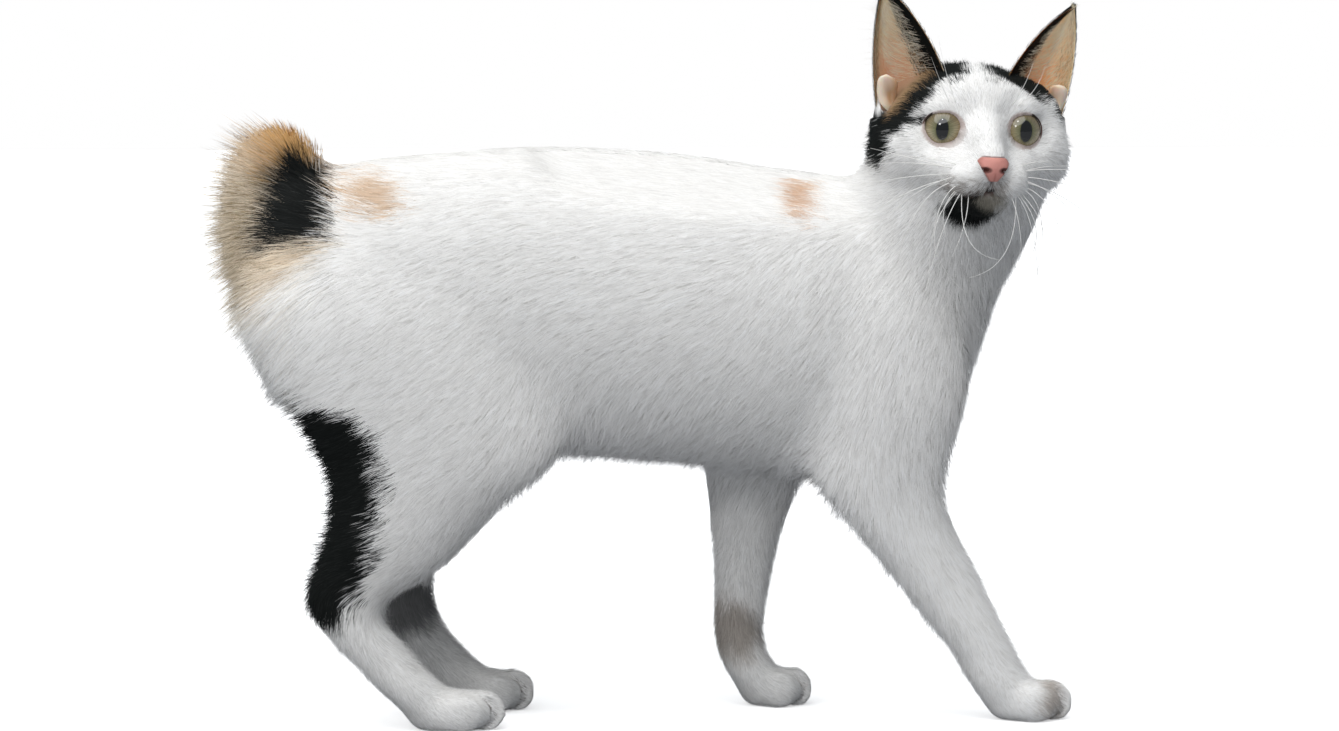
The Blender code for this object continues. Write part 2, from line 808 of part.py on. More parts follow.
def part_head(frame, collar, facing):
    """The head, cut from the neck, with its eyes, lids, nose, mouth and ears."""
    nodes = {}
    head = head_block(frame)
    up = tuple(a + GAP * b for a, b in zip(collar, facing))
    below = half_space("below", up, -facing)
    boolean(head, "DIFFERENCE", below)
    discard(below)
    nodes["eye_left"], nodes["eye_right"] = eye("eye_left", frame, 1), eye("eye_right", frame, -1)
    for side, name in ((1, "eye_left"), (-1, "eye_right")):
        socket, almond = swollen(nodes[name], GAP), almond_cutter(frame, side)
        boolean(head, "DIFFERENCE", socket, almond)
        discard(socket, almond)
    nodes["nose"] = bare_nose(frame)
    seat = swollen(nodes["nose"], GAP)
    boolean(head, "DIFFERENCE", seat)
    discard(seat)
    groove(head, frame)
    head.name = "head"
    nodes["head"] = largest_surface(head)
    near = swollen(nodes["head"], GAP)
    for name, edges in EAR_EDGES.items():
        nodes[name] = ear(name, edges, frame)
        boolean(nodes[name], "DIFFERENCE", near)
        largest_surface(nodes[name])
    discard(near)
    return nodes


def box_middle(nodes):
    """The middle of the box around all the nodes, in plan, at the floor's level."""
    corners = [vertex.co for node in nodes.values() for vertex in node.data.vertices]
    across = [(min(c[axis] for c in corners) + max(c[axis] for c in corners)) / 2 for axis in (0, 1)]
    return Vector((*across, 0.0))


def main():
    clear_scene()
    frame = head_frame()
    nodes, collar, facing = part_body(frame)
    nodes.update(part_head(frame, collar, facing))
    for leg, name in PAW_OF_LEG.items():
        nodes[name] = paw(name, leg)
    nodes["tail"] = tail()
    rump = swollen(nodes["torso"], GAP)
    boolean(nodes["tail"], "DIFFERENCE", rump, solver="MANIFOLD")
    discard(rump)
    largest_surface(nodes["tail"])
    white = coat_material("white_coat", (0.86, 0.85, 0.83), 0.8)
    tan = coat_material("tan_and_black_hair", (0.55, 0.36, 0.18), 0.8)
    iris = coat_material("olive_eye", (0.42, 0.38, 0.14), 0.08)
    leather = coat_material("pink_nose", (0.80, 0.38, 0.33), 0.45)
    finishes = {"tail": tan, "eye_left": iris, "eye_right": iris, "nose": leather}
    stance = bpy.data.objects.new("stance", None)
    bpy.context.scene.collection.objects.link(stance)
    stance.location = -box_middle(nodes)
    for name, node in nodes.items():
        node.name = name
        node.data.materials.clear()
        node.data.materials.append(finishes.get(name, white))
        node.data.shade_smooth()
        node.data.set_sharp_from_angle(angle=math.radians(40))
        node.parent = stance


main()
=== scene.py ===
"""A Japanese bobtail cat, walking, with its head turned to its right: its looks over the CAD solids.

Values are in millimetres in the cat's own axes: x forward, y to its left, z up from the floor.
Points of the head are (forward, left, up) from midway between the eyes.
"""

import math

import bmesh
import bpy
import numpy as np
from mathutils import Matrix, Vector
from mathutils.bvhtree import BVHTree


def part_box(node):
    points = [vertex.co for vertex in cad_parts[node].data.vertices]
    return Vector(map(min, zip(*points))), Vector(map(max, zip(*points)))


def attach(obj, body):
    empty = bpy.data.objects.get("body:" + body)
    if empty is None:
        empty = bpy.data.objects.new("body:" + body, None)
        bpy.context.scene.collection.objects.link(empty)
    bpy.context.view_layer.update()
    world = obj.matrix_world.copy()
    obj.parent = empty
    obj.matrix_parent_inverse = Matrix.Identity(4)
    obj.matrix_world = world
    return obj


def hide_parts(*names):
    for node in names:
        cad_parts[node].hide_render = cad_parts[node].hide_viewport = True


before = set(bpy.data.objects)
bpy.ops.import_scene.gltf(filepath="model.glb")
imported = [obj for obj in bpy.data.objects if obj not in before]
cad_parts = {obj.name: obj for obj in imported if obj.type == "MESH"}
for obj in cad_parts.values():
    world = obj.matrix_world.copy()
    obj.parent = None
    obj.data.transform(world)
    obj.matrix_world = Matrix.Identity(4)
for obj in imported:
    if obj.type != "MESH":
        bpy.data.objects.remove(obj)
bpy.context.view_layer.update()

# The skin: the cat's body under its hair, one closed surface fused from the CAD solids of torso,
# neck, head, legs and paws and sunk by the coat's depth. It runs under the nose and over the eyes,
# where it is then pressed into a socket round each globe.
BODY_NODES = ("torso", "neck", "head", "nose", "eye_left", "eye_right")
LEG_NODES = [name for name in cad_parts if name.startswith(("fore", "hind", "paw"))]
SKIN_VOXEL = 2.25

# The head is turned 85.5 degrees to the cat's right and leans 3.2 degrees. The right eye's globe
# gives the place of the cat's own axes in the row frame.
HEAD = np.array(
    Matrix.Translation((147.3, -50.0, 289.7))
    @ Matrix.Rotation(math.radians(-85.5), 4, "Z")
    @ Matrix.Rotation(math.radians(-3.2), 4, "X")
)
GLOBES = {1: (-11.0, 20.0, 0.0), -1: (-9.8, -16.8, -1.2)}


def from_head(points):
    """Points given in the head's axes, in the cat's axes."""
    return np.asarray(points, float) @ HEAD[:3, :3].T + HEAD[:3, 3]


def in_head(points):
    """Points given in the cat's axes, in the head's axes."""
    return (points - HEAD[:3, 3]) @ HEAD[:3, :3]


globe_low, globe_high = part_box("eye_right")
SHIFT = np.array((globe_low + globe_high) * 500) - from_head(GLOBES[-1])


def piece(name, points, faces):
    """An object at the origin from points in the cat's millimetres and one array of faces."""
    data = bpy.data.meshes.new(name)
    faces = np.asarray(faces, np.int32)
    data.vertices.add(len(points))
    data.vertices.foreach_set("co", ((points + SHIFT) * 0.001).astype(np.float32).ravel())
    data.loops.add(faces.size)
    data.loops.foreach_set("vertex_index", faces.ravel())
    data.polygons.add(len(faces))
    data.polygons.foreach_set("loop_start", np.arange(0, faces.size, faces.shape[1], dtype=np.int32))
    data.update(calc_edges=True)
    return shown(name, data)


def shown(name, data):
    """An object at the origin that shows a mesh, smooth."""
    data.polygons.foreach_set("use_smooth", np.full(len(data.polygons), True))
    data.materials.clear()
    made = bpy.data.objects.new(name, data)
    bpy.context.scene.collection.objects.link(made)
    return made


def coordinates(data):
    """A mesh's points in the cat's millimetres."""
    points = np.empty(len(data.vertices) * 3, np.float32)
    data.vertices.foreach_get("co", points)
    return points.reshape(-1, 3).astype(float) * 1000 - SHIFT


def triangles(data, corners="vertices"):
    """A mesh's triangles as rows of three point numbers, or of three loop numbers."""
    data.calc_loop_triangles()
    faces = np.empty(len(data.loop_triangles) * 3, np.int32)
    data.loop_triangles.foreach_get(corners, faces)
    return faces.reshape(-1, 3)


def merged(name):
    """A CAD node's points and triangles, with points that share a place made one."""
    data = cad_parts[name].data
    points, faces = coordinates(data), triangles(data)
    _, first, index = np.unique(np.round(points, 3), axis=0, return_index=True, return_inverse=True)
    return points[first], index.reshape(-1)[faces]


def joined(parts):
    """The points and faces of several (points, faces) as one."""
    starts = np.cumsum([0] + [len(points) for points, _ in parts])
    faces = [rows + start for (_, rows), start in zip(parts, starts)]
    return np.concatenate([points for points, _ in parts]), np.concatenate(faces)


def fused(points, faces, voxel, relaxed=0):
    """A mesh of one closed surface round the faces, remeshed at a voxel size, and smoothed if relaxed is
    given.
    """
    raw = piece("raw", points, faces)
    fuse = raw.modifiers.new("fuse", "REMESH")
    fuse.mode = "VOXEL"
    fuse.voxel_size = voxel * 0.001
    if relaxed:
        relax = raw.modifiers.new("relax", "SMOOTH")
        relax.iterations = relaxed
    graph = bpy.context.evaluated_depsgraph_get()
    made = bpy.data.meshes.new_from_object(raw.evaluated_get(graph))
    bpy.data.objects.remove(raw)
    return made


def unit(vectors):
    """Each row over its own length."""
    return vectors / np.maximum(np.linalg.norm(vectors, axis=-1, keepdims=True), 1e-9)


def normals_of(points, faces):
    """The sum of the cross products of the triangles at each point, at length one."""
    a, b, c = (points[faces[:, i]] for i in range(3))
    cross = np.cross(b - a, c - a)
    total = np.stack(
        [sum(np.bincount(faces[:, i], cross[:, k], len(points)) for i in range(3)) for k in range(3)], 1
    )
    return unit(total)


def along(rows, shares):
    """Catmull-Rom values of the rows at shares 0 to 1 of the way."""
    place = np.clip(np.asarray(shares, float), 0, 1) * (len(rows) - 1)
    i = np.minimum(place.astype(int), len(rows) - 2)
    t = (place - i)[:, None]
    a, b, c, d = (rows[np.clip(i + k, 0, len(rows) - 1)] for k in (-1, 0, 1, 2))
    return b + 0.5 * t * (c - a + t * (2 * a - 5 * b + 4 * c - d + t * (3 * (b - c) + d - a)))


def grid_quads(rows, columns, closed):
    """Quads between the points of a grid stored row by row, whose last column may meet its first."""
    i, j = np.meshgrid(np.arange(rows - 1), np.arange(columns if closed else columns - 1), indexing="ij")
    k = (j + 1) % columns
    quads = np.stack([i * columns + j, (i + 1) * columns + j, (i + 1) * columns + k, i * columns + k], -1)
    return quads.reshape(-1, 4)


def closed_faces(rings, sides):
    """Triangles of a stack of rings, closed at both ends by fans round two poles stored after them."""
    quads = grid_quads(rings, sides, True)
    here = np.arange(sides)
    after = (here + 1) % sides
    last = (rings - 1) * sides
    start = np.stack([np.full(sides, rings * sides), here, after], 1)
    end = np.stack([np.full(sides, rings * sides + 1), last + after, last + here], 1)
    return np.concatenate([quads[:, [0, 1, 2]], quads[:, [0, 2, 3]], start, end])


def tube(points, radii, sides, aim=(0, 0, 1)):
    """A closed tube: at each point a ring of the given radius, square to the path, and two poles."""
    points = np.asarray(points, float)
    way = unit(np.gradient(points, axis=0))
    side = unit(np.cross(way, aim))
    rise = np.cross(side, way)
    turn = np.linspace(0, 2 * math.pi, sides, endpoint=False)
    ring = side[:, None] * np.cos(turn)[None, :, None] + rise[:, None] * np.sin(turn)[None, :, None]
    rings = points[:, None] + ring * np.asarray(radii, float)[:, None, None]
    return np.concatenate([rings.reshape(-1, 3), points[:1], points[-1:]]), closed_faces(len(points), sides)


def outwards(points, faces):
    """The faces, turned over if their normals point at the middle of the points."""
    away = np.einsum("ij,ij->i", normals_of(points, faces), points - points.mean(0)).mean()
    return faces if away > 0 else faces[:, ::-1]


# The short, hooked core of the tail under its hair: x, z and radius along it, all at y = 0.
TAIL_CORE = np.array(
    (
        (-150, 225, 12),
        (-161, 238, 12),
        (-170, 255, 12.5),
        (-180, 269, 13),
        (-189, 272, 13),
        (-195, 260, 13),
        (-198, 243, 12.5),
        (-197, 227, 11),
        (-195, 214, 6),
    ),
    float,
)
core = along(TAIL_CORE, np.linspace(0, 1, 40))
core_line = np.stack([core[:, 0], np.zeros(40), core[:, 1]], 1)
core_points, core_faces = tube(core_line, core[:, 2], 24, (0, 1, 0))

parts = []
for name in (*BODY_NODES, *LEG_NODES):
    points, faces = merged(name)
    parts.append((points + normals_of(points, faces) * 0.25, faces))
parts.append((core_points, outwards(core_points, core_faces)))
skin_data = fused(*joined(parts), SKIN_VOXEL)

# The face is cut finer than the body: once round the muzzle and eyes, once more at the openings.
# An eye's own axes point out of the socket, away from the nose, and up.
EYE_TURN = {1: 5, -1: -12}
OPENING_WIDE = {1: 9.5, -1: 10.4}
OPENING_HIGH = 8.6
EYES = {}
for side in (1, -1):
    turn = Matrix.Rotation(math.radians(EYE_TURN[side]), 4, "Z")
    slant = Matrix.Rotation(math.radians(side * 8), 4, "X")
    EYES[side] = HEAD @ np.array(Matrix.Translation(GLOBES[side]) @ turn @ slant)


def in_eye(points, side):
    """Points in an eye's own axes: out of the socket, away from the nose, up."""
    axes = EYES[side]
    local = (points - axes[:3, 3]) @ axes[:3, :3]
    local[:, 1] *= side
    return local


def from_eye(points, side):
    """Points given in an eye's own axes, in the cat's axes."""
    axes = EYES[side]
    return (points * np.array((1, side, 1))) @ axes[:3, :3].T + axes[:3, 3]


def almond(local, side):
    """1 on the outline of the opening, less inside; the corner by the nose is drawn in and down."""
    wide = OPENING_WIDE[side]
    drawn = np.clip(-local[:, 1] / wide, 0, 1.15) ** 3
    return np.hypot((local[:, 1] + 1.5 * drawn) / wide, (local[:, 2] + 2.4 * drawn) / OPENING_HIGH)


def refine(data, chosen):
    """Halves every edge with both ends chosen."""
    mesh = bmesh.new()
    mesh.from_mesh(data)
    edges = [e for e in mesh.edges if chosen[e.verts[0].index] and chosen[e.verts[1].index]]
    bmesh.ops.subdivide_edges(mesh, edges=edges, cuts=1, use_grid_fill=True)
    mesh.to_mesh(data)
    mesh.free()


# Each paw: toe-tip x, middle y and half width, in the order right and left, fore and hind.
PAWS = ((196, -28.5, 17), (74.5, 30.5, 16.5), (-82.5, -38, 16.5), (-65, 25.5, 16.5))

for wide in (True, False):
    points = coordinates(skin_data)
    x, y, z = points.T
    ahead, left, rise = in_head(points).T
    chosen = (ahead > 2) & (np.abs(left) < 24) & (rise < -8) & (rise > -42)
    if wide:
        for tip, middle, half in PAWS:
            chosen |= (x > tip - 24) & (x < tip + 4) & (np.abs(y - middle) < half + 3) & (z < 24)
    for side in (1, -1):
        near = in_eye(points, side)
        chosen |= (near[:, 0] > 0) & (np.linalg.norm(near, axis=1) < (20 if wide else 15.5))
    refine(skin_data, chosen)

points = coordinates(skin_data)
skin_faces = triangles(skin_data)
edges = np.empty(len(skin_data.edges) * 2, np.int32)
skin_data.edges.foreach_get("vertices", edges)
edges = edges.reshape(-1, 2)

# The remeshed surface is relaxed, least on the head, and most in the fold between flank and thigh.
SKULL = np.array((-22, 0, -6))
FLANK_FOLD, FOLD_SIZE = np.array((-54, 0, 142)), np.array((30, 70, 26))


def soft(low, high, value):
    """0 below low, 1 above high, and 3t^2 - 2t^3 between."""
    t = np.clip((value - low) / (high - low), 0, 1)
    return t * t * (3 - 2 * t)


def on_skull(local, full):
    """1 within a distance of the middle of the skull, 0 from 66 on."""
    return soft(66, full, np.linalg.norm(local - SKULL, axis=1))


def smoothed(points, weight, times):
    """Moves each point by its weight towards the mean of its neighbours, a number of times."""
    ends = np.concatenate([edges, edges[:, ::-1]])
    share = np.bincount(ends[:, 0], minlength=len(points))
    for _ in range(times):
        mean = np.stack([np.bincount(ends[:, 0], points[ends[:, 1], k], len(points)) for k in range(3)], 1)
        points = points + weight[:, None] * (mean / share[:, None] - points)
    return points


points = smoothed(points, 0.5 * (1 - 0.3 * on_skull(in_head(points), 48)), 8)
points = smoothed(points, 0.5 * soft(24, 60, points[:, 2]), 10)
points = smoothed(points, 0.5 * np.exp(-(((points - FLANK_FOLD) / FOLD_SIZE) ** 2).sum(1)), 90)


def coat_depth(points):
    """How deep the coat is: 3.2 on the body, 1.7 on the legs, 0.8 on the paws, 1.9 to 0.7 on the head."""
    local = in_head(points)
    depth = 3.2 - 1.5 * soft(150, 85, points[:, 2]) - 0.9 * soft(36, 16, points[:, 2])
    return depth + on_skull(local, 48) * (1.9 - 1.2 * soft(-14, 8, local[:, 0]) - depth)


def behind_forearm(points, normals):
    """1 on the rear face of the right forearm, whose hair stands off and fills the outline there."""
    x, y, z = points.T
    arm = (y < -6) & (x > 55)
    arm = arm * soft(22, 62, z) * soft(150, 108, z)
    return arm * soft(-0.1, 0.55, normals @ np.array((-0.82, 0, -0.57)))


points = points - normals_of(points, skin_faces) * coat_depth(points)[:, None]
normals = normals_of(points, skin_faces)
points = points + normals * (2.0 * behind_forearm(points, normals))[:, None]

# The mouth of each ear: above a line from crown to cheek the skin drops back behind the ear's cup.
# The line is (left, up) on a plane in front of the face.
EAR_LINES = {
    1: ((16.8, 60), (17.6, 31), (20.9, 26.5), (26.1, 24), (32.2, 21.6), (39.7, 14.6), (41.7, 8.8), (50, 8)),
    -1: ((19.8, 60), (20.4, 29), (26, 23.7), (31.7, 18.5), (36.3, 12.5), (39.1, 8.4), (42.8, 4.3), (52, 3)),
}


def in_face(local):
    """Points of the head as (left, up) on the plane through the eyes, seen from 13 degrees aside."""
    return local[:, 1:] + (local[:, :1] + 18) * np.array((0.24, -0.01))


def over_ear_line(local):
    """How far points of the head lie above the lower edge of an ear's opening, seen from in front."""
    face = in_face(local)
    edge = [np.interp(side * face[:, 0], *zip(*EAR_LINES[side])) for side in (1, -1)]
    above = 0.75 * (face[:, 1] - np.where(face[:, 0] > 0, edge[0], edge[1]))
    return np.where(np.linalg.norm(local, axis=1) < 74, above, -99)


head_local = in_head(points)
ear_mouth = soft(-0.5, 3.5, over_ear_line(head_local)) * soft(-16, -22, head_local[:, 0])
ear_mouth *= (head_local[:, 0] > -51) * soft(46, 41, np.abs(head_local[:, 1]))
head_local[:, 0] += ear_mouth * np.minimum(0, -50 - head_local[:, 0])
points = from_head(head_local)

# Sockets: inside the almond the skin lies behind the globe's face; the lids hug the globe, 0.35
# proud of it at their edge and 1.4 where they run out into the cheek. The upper lid slopes on up
# into the brow with no overhang.
GLOBE_RADIUS = 11.0
for side, larger in ((1, 1.09), (-1, 1.14)):
    near = in_eye(points, side)
    reach = np.linalg.norm(near, axis=1)
    ring = almond(near, side) / larger
    zone = (near[:, 0] > 1.5) & (reach < 21)
    upward = soft(0.0, 0.6, near[:, 2] / np.maximum(np.hypot(near[:, 1], near[:, 2]), 1e-6))
    lid = GLOBE_RADIUS + 0.35 + 1.05 * soft(1.02, 1.35, ring)
    lid = lid + upward * (GLOBE_RADIUS + 0.3 + 5.2 * (ring - 1.0) - lid)
    lid = np.where(ring > 1.3, np.minimum(lid, reach), lid)
    hold = soft(1.62, 1.18, ring) * (1 - upward) + soft(2.2, 1.75, ring) * upward
    target = np.where(ring < 1.03, GLOBE_RADIUS * 0.80, lid)
    new = reach + (target - reach) * hold
    points[zone] = from_eye(near * (new / np.maximum(reach, 1e-6))[:, None], side)[zone]


# Between the four toes of a paw run three clefts. The line of the mouth, as (left, up), goes down
# from the nose, then out below each whisker pad, and the skin drops back behind the nose's pad.
MOUTH = np.array(((0, -24.5), (0, -29.5), (5, -32), (11, -32.6), (16.5, -31), (19.5, -29.5)), float)


def toe_clefts(points):
    """1 in the three clefts between the four toes of a paw, deepest at the front, 0 away from them."""
    x, y, z = points.T
    cleft = np.zeros(len(points))
    for tip, middle, half in PAWS:
        front = soft(tip - 17, tip - 9, x) * (x < tip + 5) * soft(25, 20, z)
        for place in (-0.47, 0.0, 0.47):
            off = (y - middle) / half - place * (1 - 0.012 * np.clip(tip - x, 0, 20))
            cleft = np.maximum(cleft, np.exp(-((off * half / 1.1) ** 2)) * front)
    return cleft


def line_gap(points, line):
    """The distance of points in a plane from a line of several spans."""
    line = np.asarray(line, float)
    gap = np.full(len(points), 1e9)
    for a, b in zip(line[:-1], line[1:]):
        span = b - a
        share = np.clip(((points - a) @ span) / (span @ span), 0, 1)
        gap = np.minimum(gap, np.linalg.norm(points - a - share[:, None] * span, axis=1))
    return gap


cleft = toe_clefts(points)
points = points - normals_of(points, skin_faces) * (2.3 * cleft)[:, None]

head_local = in_head(points)
ahead, left, rise = head_local.T
mouth_gap = line_gap(np.stack([np.abs(left), rise], 1), along(MOUTH, np.linspace(0, 1, 30)))
mouth_gap[ahead < 0] = 99
sink = 1.5 * np.exp(-((mouth_gap / 0.9) ** 2)) - 0.35 * np.exp(-(((mouth_gap - 2.3) / 1.0) ** 2))
under_nose = np.interp(rise + 18.6, (-6.5, -0.6, 3.4, 6.0), (1.2, 5.5, 6.9, 5.2))
under_nose = soft(0.6, -0.6, np.abs(left) - under_nose) * (np.abs(rise + 18.4) < 5.6)
sink += 4.2 * under_nose * (ahead > 15)
skin_points = points - normals_of(points, skin_faces) * sink[:, None]
skin_normals = normals_of(skin_points, skin_faces)

# The markings: white, with black, red and cream patches whose edges are broken up by the hairs.
# A patch is given by how far a point lies inside its edge, in millimetres. The black up the back
# of the right hind leg and the black of the tail end at an x for each z.
LEG_BLACK_EDGE = (
    (44, -178),
    (48, -168),
    (55, -160),
    (65, -156),
    (84, -149.5),
    (103, -145.5),
    (122, -143),
    (138, -145),
    (148, -151),
    (155, -163),
    (160, -185),
)
TAIL_BLACK_EDGE = ((228, -203), (240, -202), (254, -198), (266, -193), (273, -188), (281, -182))
EAR_BAND = ((-17, 29), (-23.5, 22.5), (-28, 16.5), (-33, 10), (-38, 4.5), (-47, 0.5))
BROW_BAND = ((15, 29), (23, 24), (30, 21))
UPPER_LIP = np.array(((-12, -29), (-5, -30.5), (2, -31), (9, -30.5), (15, -28.5)), float)
# Black ovals of the face: middle and halves as (left, up), and turn.
FACE_OVALS = (
    ((-14, 29.5), (9, 6.5), 14),
    ((10, 30.5), (9, 6), -12),
    ((-34.5, 1.6), (9.5, 3.4), 5),
    ((-42, -1.5), (8, 5), 0),
    ((-48.5, -8), (7.3, 13), 3),
    ((42.5, 12), (3.2, 5), 0),
)


def ripple(points, size, seed):
    """The mean of six sines of random directions with wavelengths near the size, about -1 to 1."""
    dice = np.random.default_rng(seed)
    total = np.zeros(len(points))
    for _ in range(6):
        way = unit(dice.normal(size=3)) * 2 * math.pi / (size * dice.uniform(0.6, 1.5))
        total += np.sin(points @ way + dice.uniform(0, 6.3))
    return total / 2.6


def rgb(code):
    """An sRGB hex colour as linear red, green, blue."""
    value = np.array([int(code[i : i + 2], 16) / 255 for i in (1, 3, 5)])
    return np.where(value <= 0.04045, value / 12.92, ((value + 0.055) / 1.055) ** 2.4)


def tint(colour, code, share):
    """Moves each colour towards an sRGB one by its share, from 0 to 1."""
    colour += (rgb(code) - colour) * share[..., None]


def oval_depth(plane, centre, half, turn=0.0):
    """How far points of a plane lie inside an oval turned by an angle in degrees."""
    a = math.radians(turn)
    off = plane - np.array(centre)
    across = off[:, 0] * math.cos(a) + off[:, 1] * math.sin(a)
    rise = off[:, 1] * math.cos(a) - off[:, 0] * math.sin(a)
    return (1 - np.hypot(across / half[0], rise / half[1])) * min(half)


def markings(points, loose):
    """Linear colour at points; loose, from -1 to 1, moves a point over a patch's edge."""
    x, y, z = points.T
    local = in_head(points)
    face = in_face(local)
    front = local[:, 0] > -52
    broken = 1.4 * ripple(points, 9, 3) + 0.8 * ripple(points, 3.5, 4) + 2.2 * loose

    def lay(inside, code, edge=1.0, strength=1.0, where=None):
        if where is not None:
            inside = np.where(where, inside, -99)
        tint(colour, code, strength * soft(-edge, edge, inside))

    # Painted shade and light: low down the fore part is a little darker and the hind legs lighter, the far
    # legs and the throat under the head darker.
    painted_shading = (0.03 - 0.09 * soft(-90, -20, x)) * soft(150, 70, z)
    painted_shading += 0.10 * soft(0, 12, y) * soft(125, 95, z)
    throat_shade = ((points - np.array((138, -30, 215))) / np.array((34, 40, 34))) ** 2
    painted_shading += 0.08 * np.exp(-throat_shade.sum(1))
    colour = np.tile(rgb("#f1f0ee"), (len(points), 1))
    colour = colour * (1 - 0.02 * (0.5 + 0.5 * ripple(points, 14, 5)) - painted_shading)[:, None]

    right, far_leg, toes = y < -6, (z < 62) & (y > 0), (x > 160) & (y < -14) & (z < 30)
    for where, centre, half, turn, astray, code, edge, strength in (
        (right, (-147, 257), (12, 8.5), -14, 3, "#cdae8a", 4.0, 0.78),
        (right, (60, 256), (6.5, 9.5), -12, 2, "#cfa57c", 3.5, 0.75),
        (right, (67.5, 267), (4, 6), -30, 2, "#e2c5a6", 3.0, 0.5),
        (far_leg, (34, 38), (12, 15), 20, 0, "#8d8175", 6.0, 0.75),
        (toes, (184.5, 11), (5, 10), 0, 0, "#8a7868", 4.0, 0.6),
        (far_leg, (-127, 53), (14, 15), -50, 0, "#4b4b4d", 5.0, 0.85),
    ):
        spot = oval_depth(points[:, [0, 2]], centre, half, turn)
        lay(spot + broken + astray * loose, code, edge, strength, where)
    band = np.minimum(np.interp(z, *zip(*LEG_BLACK_EDGE)) - x, np.minimum(z - 44, 158 - z) + 2)
    lay(band + 1.5 * broken + 2 * loose, "#0d1110", 2.2, 1.0, (y < -7) & (x < -120))

    beside = (face[:, 0] < -17) & (face[:, 0] > -44)
    blaze = np.abs(local[:, 1] - 0.5) - 5.2 - 0.10 * np.maximum(0, -10 - local[:, 0])
    crown = np.min([-14 - local[:, 0], local[:, 2] - 15, blaze, local[:, 0] + 60], 0)
    patch = [oval_depth(face, *oval) for oval in FACE_OVALS]
    patch += [4.0 - line_gap(face, BROW_BAND), 4.6 - line_gap(face, EAR_BAND)]
    patch += [np.where(beside, over_ear_line(local) + 8.5, -99), crown]
    patch = np.where(front | (local[:, 2] > 14), np.max(patch, 0), -99)
    near_head = np.linalg.norm(local - SKULL, axis=1) < 74
    lay(np.where(near_head, patch, -99) + 0.8 * broken, "#0d1110", 1.3)
    lip_of_ear = np.where(beside & front, over_ear_line(local) + 1.4, -99)
    lay(lip_of_ear + 0.5 * broken + 1.2 * loose, "#a98a66", 1.2, 0.75)
    under = (local[:, 0] > -24) & near_head
    # Dull brown along the upper lip: partly the darker hair there, partly painted shade under the whisker
    # pads.
    lay(1.8 - line_gap(face, UPPER_LIP) + broken + loose, "#8a7d74", 1.6, 0.6, under)
    lay(oval_depth(face, (0, -39.3), (13.5, 8.8), 3) + 0.6 * broken, "#0d1110", 1.6, 1.0, under)
    lay(oval_depth(face, (10, -34.3), (7.5, 4.8), -8) + 0.5 * broken, "#8b867b", 2.0, 0.85, under)
    pads = np.where(under, 3.8 - line_gap(face, UPPER_LIP + np.array((0, 2.4))), -99)
    lay(np.minimum(pads, 2.2 * loose + 1.2 * ripple(points, 3, 8) - 0.3), "#8d857e", 1.2, 0.65)

    tail = (x < -150) & (z > 196)
    edge = np.interp(z, *zip(*TAIL_BLACK_EDGE))
    pom = np.minimum(-170 - x, z - 203 - 0.95 * np.maximum(0, x + 203))
    lay(pom + 1.5 * broken + 2 * loose, "#dfccb0", 9.0, 0.8 - 0.3 * soft(228, 206, z), tail)
    lay(np.minimum(pom, 3.0 * loose + 1.5 * ripple(points, 4, 6) - 1.5), "#a58a66", 1.5, 0.6, tail)
    olive = 8 - np.abs(x - edge + 5) - 0.25 * np.abs(z - 243)
    lay(olive + 3 * broken + 3 * loose, "#86724b", 6.0, 0.8, tail)
    golden = np.minimum(z - 267 - 0.35 * (-192 - x), -168 - x)
    lay(golden + 2 * broken + 2 * loose, "#c3985e", 7.0, 0.95 - 0.4 * soft(-192, -206, x), tail)
    dark = [x - edge, z - 233 - 0.25 * (x + 190), -168 - x, 277 - 0.6 * np.maximum(0, x + 180) - z]
    lay(np.min(dark, 0) + 1.3 * broken, "#0d1110", 2.6, 1.0, tail)
    return colour


def skin_colours():
    """The coat's markings, pink round the eyes, dark along the lips, and painted shade in the mouth's small
    opening, in the hollow behind the nose pad and in the clefts between the toes.
    """
    colour = markings(skin_points, np.zeros(len(skin_points))) * 0.9
    ahead, left, rise = head_local.T
    pink = np.zeros(len(colour))
    for side in (1, -1):
        near = in_eye(skin_points, side)
        close = (near[:, 0] > 0) & (np.linalg.norm(near, axis=1) < 16)
        pink = np.maximum(pink, close * soft(1.12, 1.03, almond(near, side)))
    mouth_shadow = soft(1.2, 0.6, np.hypot(left / 2.6, (rise + 29) / 1.8))
    tint(colour, "#8f6c60", 0.6 * pink)
    tint(colour, "#a98469", soft(0.15, 0.6, ear_mouth))
    tint(colour, "#5c403a", 0.85 * np.exp(-((mouth_gap / 1.1) ** 2)))
    # Painted shade: near black in the small opening of the mouth below the nose.
    tint(colour, "#1d1211", mouth_shadow * (ahead > 8))
    # Painted shade: near black on the skin in the hollow behind the nose pad, seen through the nostrils.
    tint(colour, "#1d0f0e", under_nose * (ahead > 10))
    # Painted shade: darker in the clefts between the toes.
    tint(colour, "#6a5f58", 0.9 * soft(0.35, 0.8, cleft))
    return colour


def add(tree, kind, settings=None, links=None):
    """One node, its settings by attribute or by socket, and its input sockets linked."""
    made = tree.nodes.new(kind)
    for key, value in (settings or {}).items():
        if isinstance(key, str) and hasattr(made, key):
            setattr(made, key, value)
        else:
            made.inputs[key].default_value = value
    for key, source in (links or {}).items():
        tree.links.new(source, made.inputs[key])
    return made


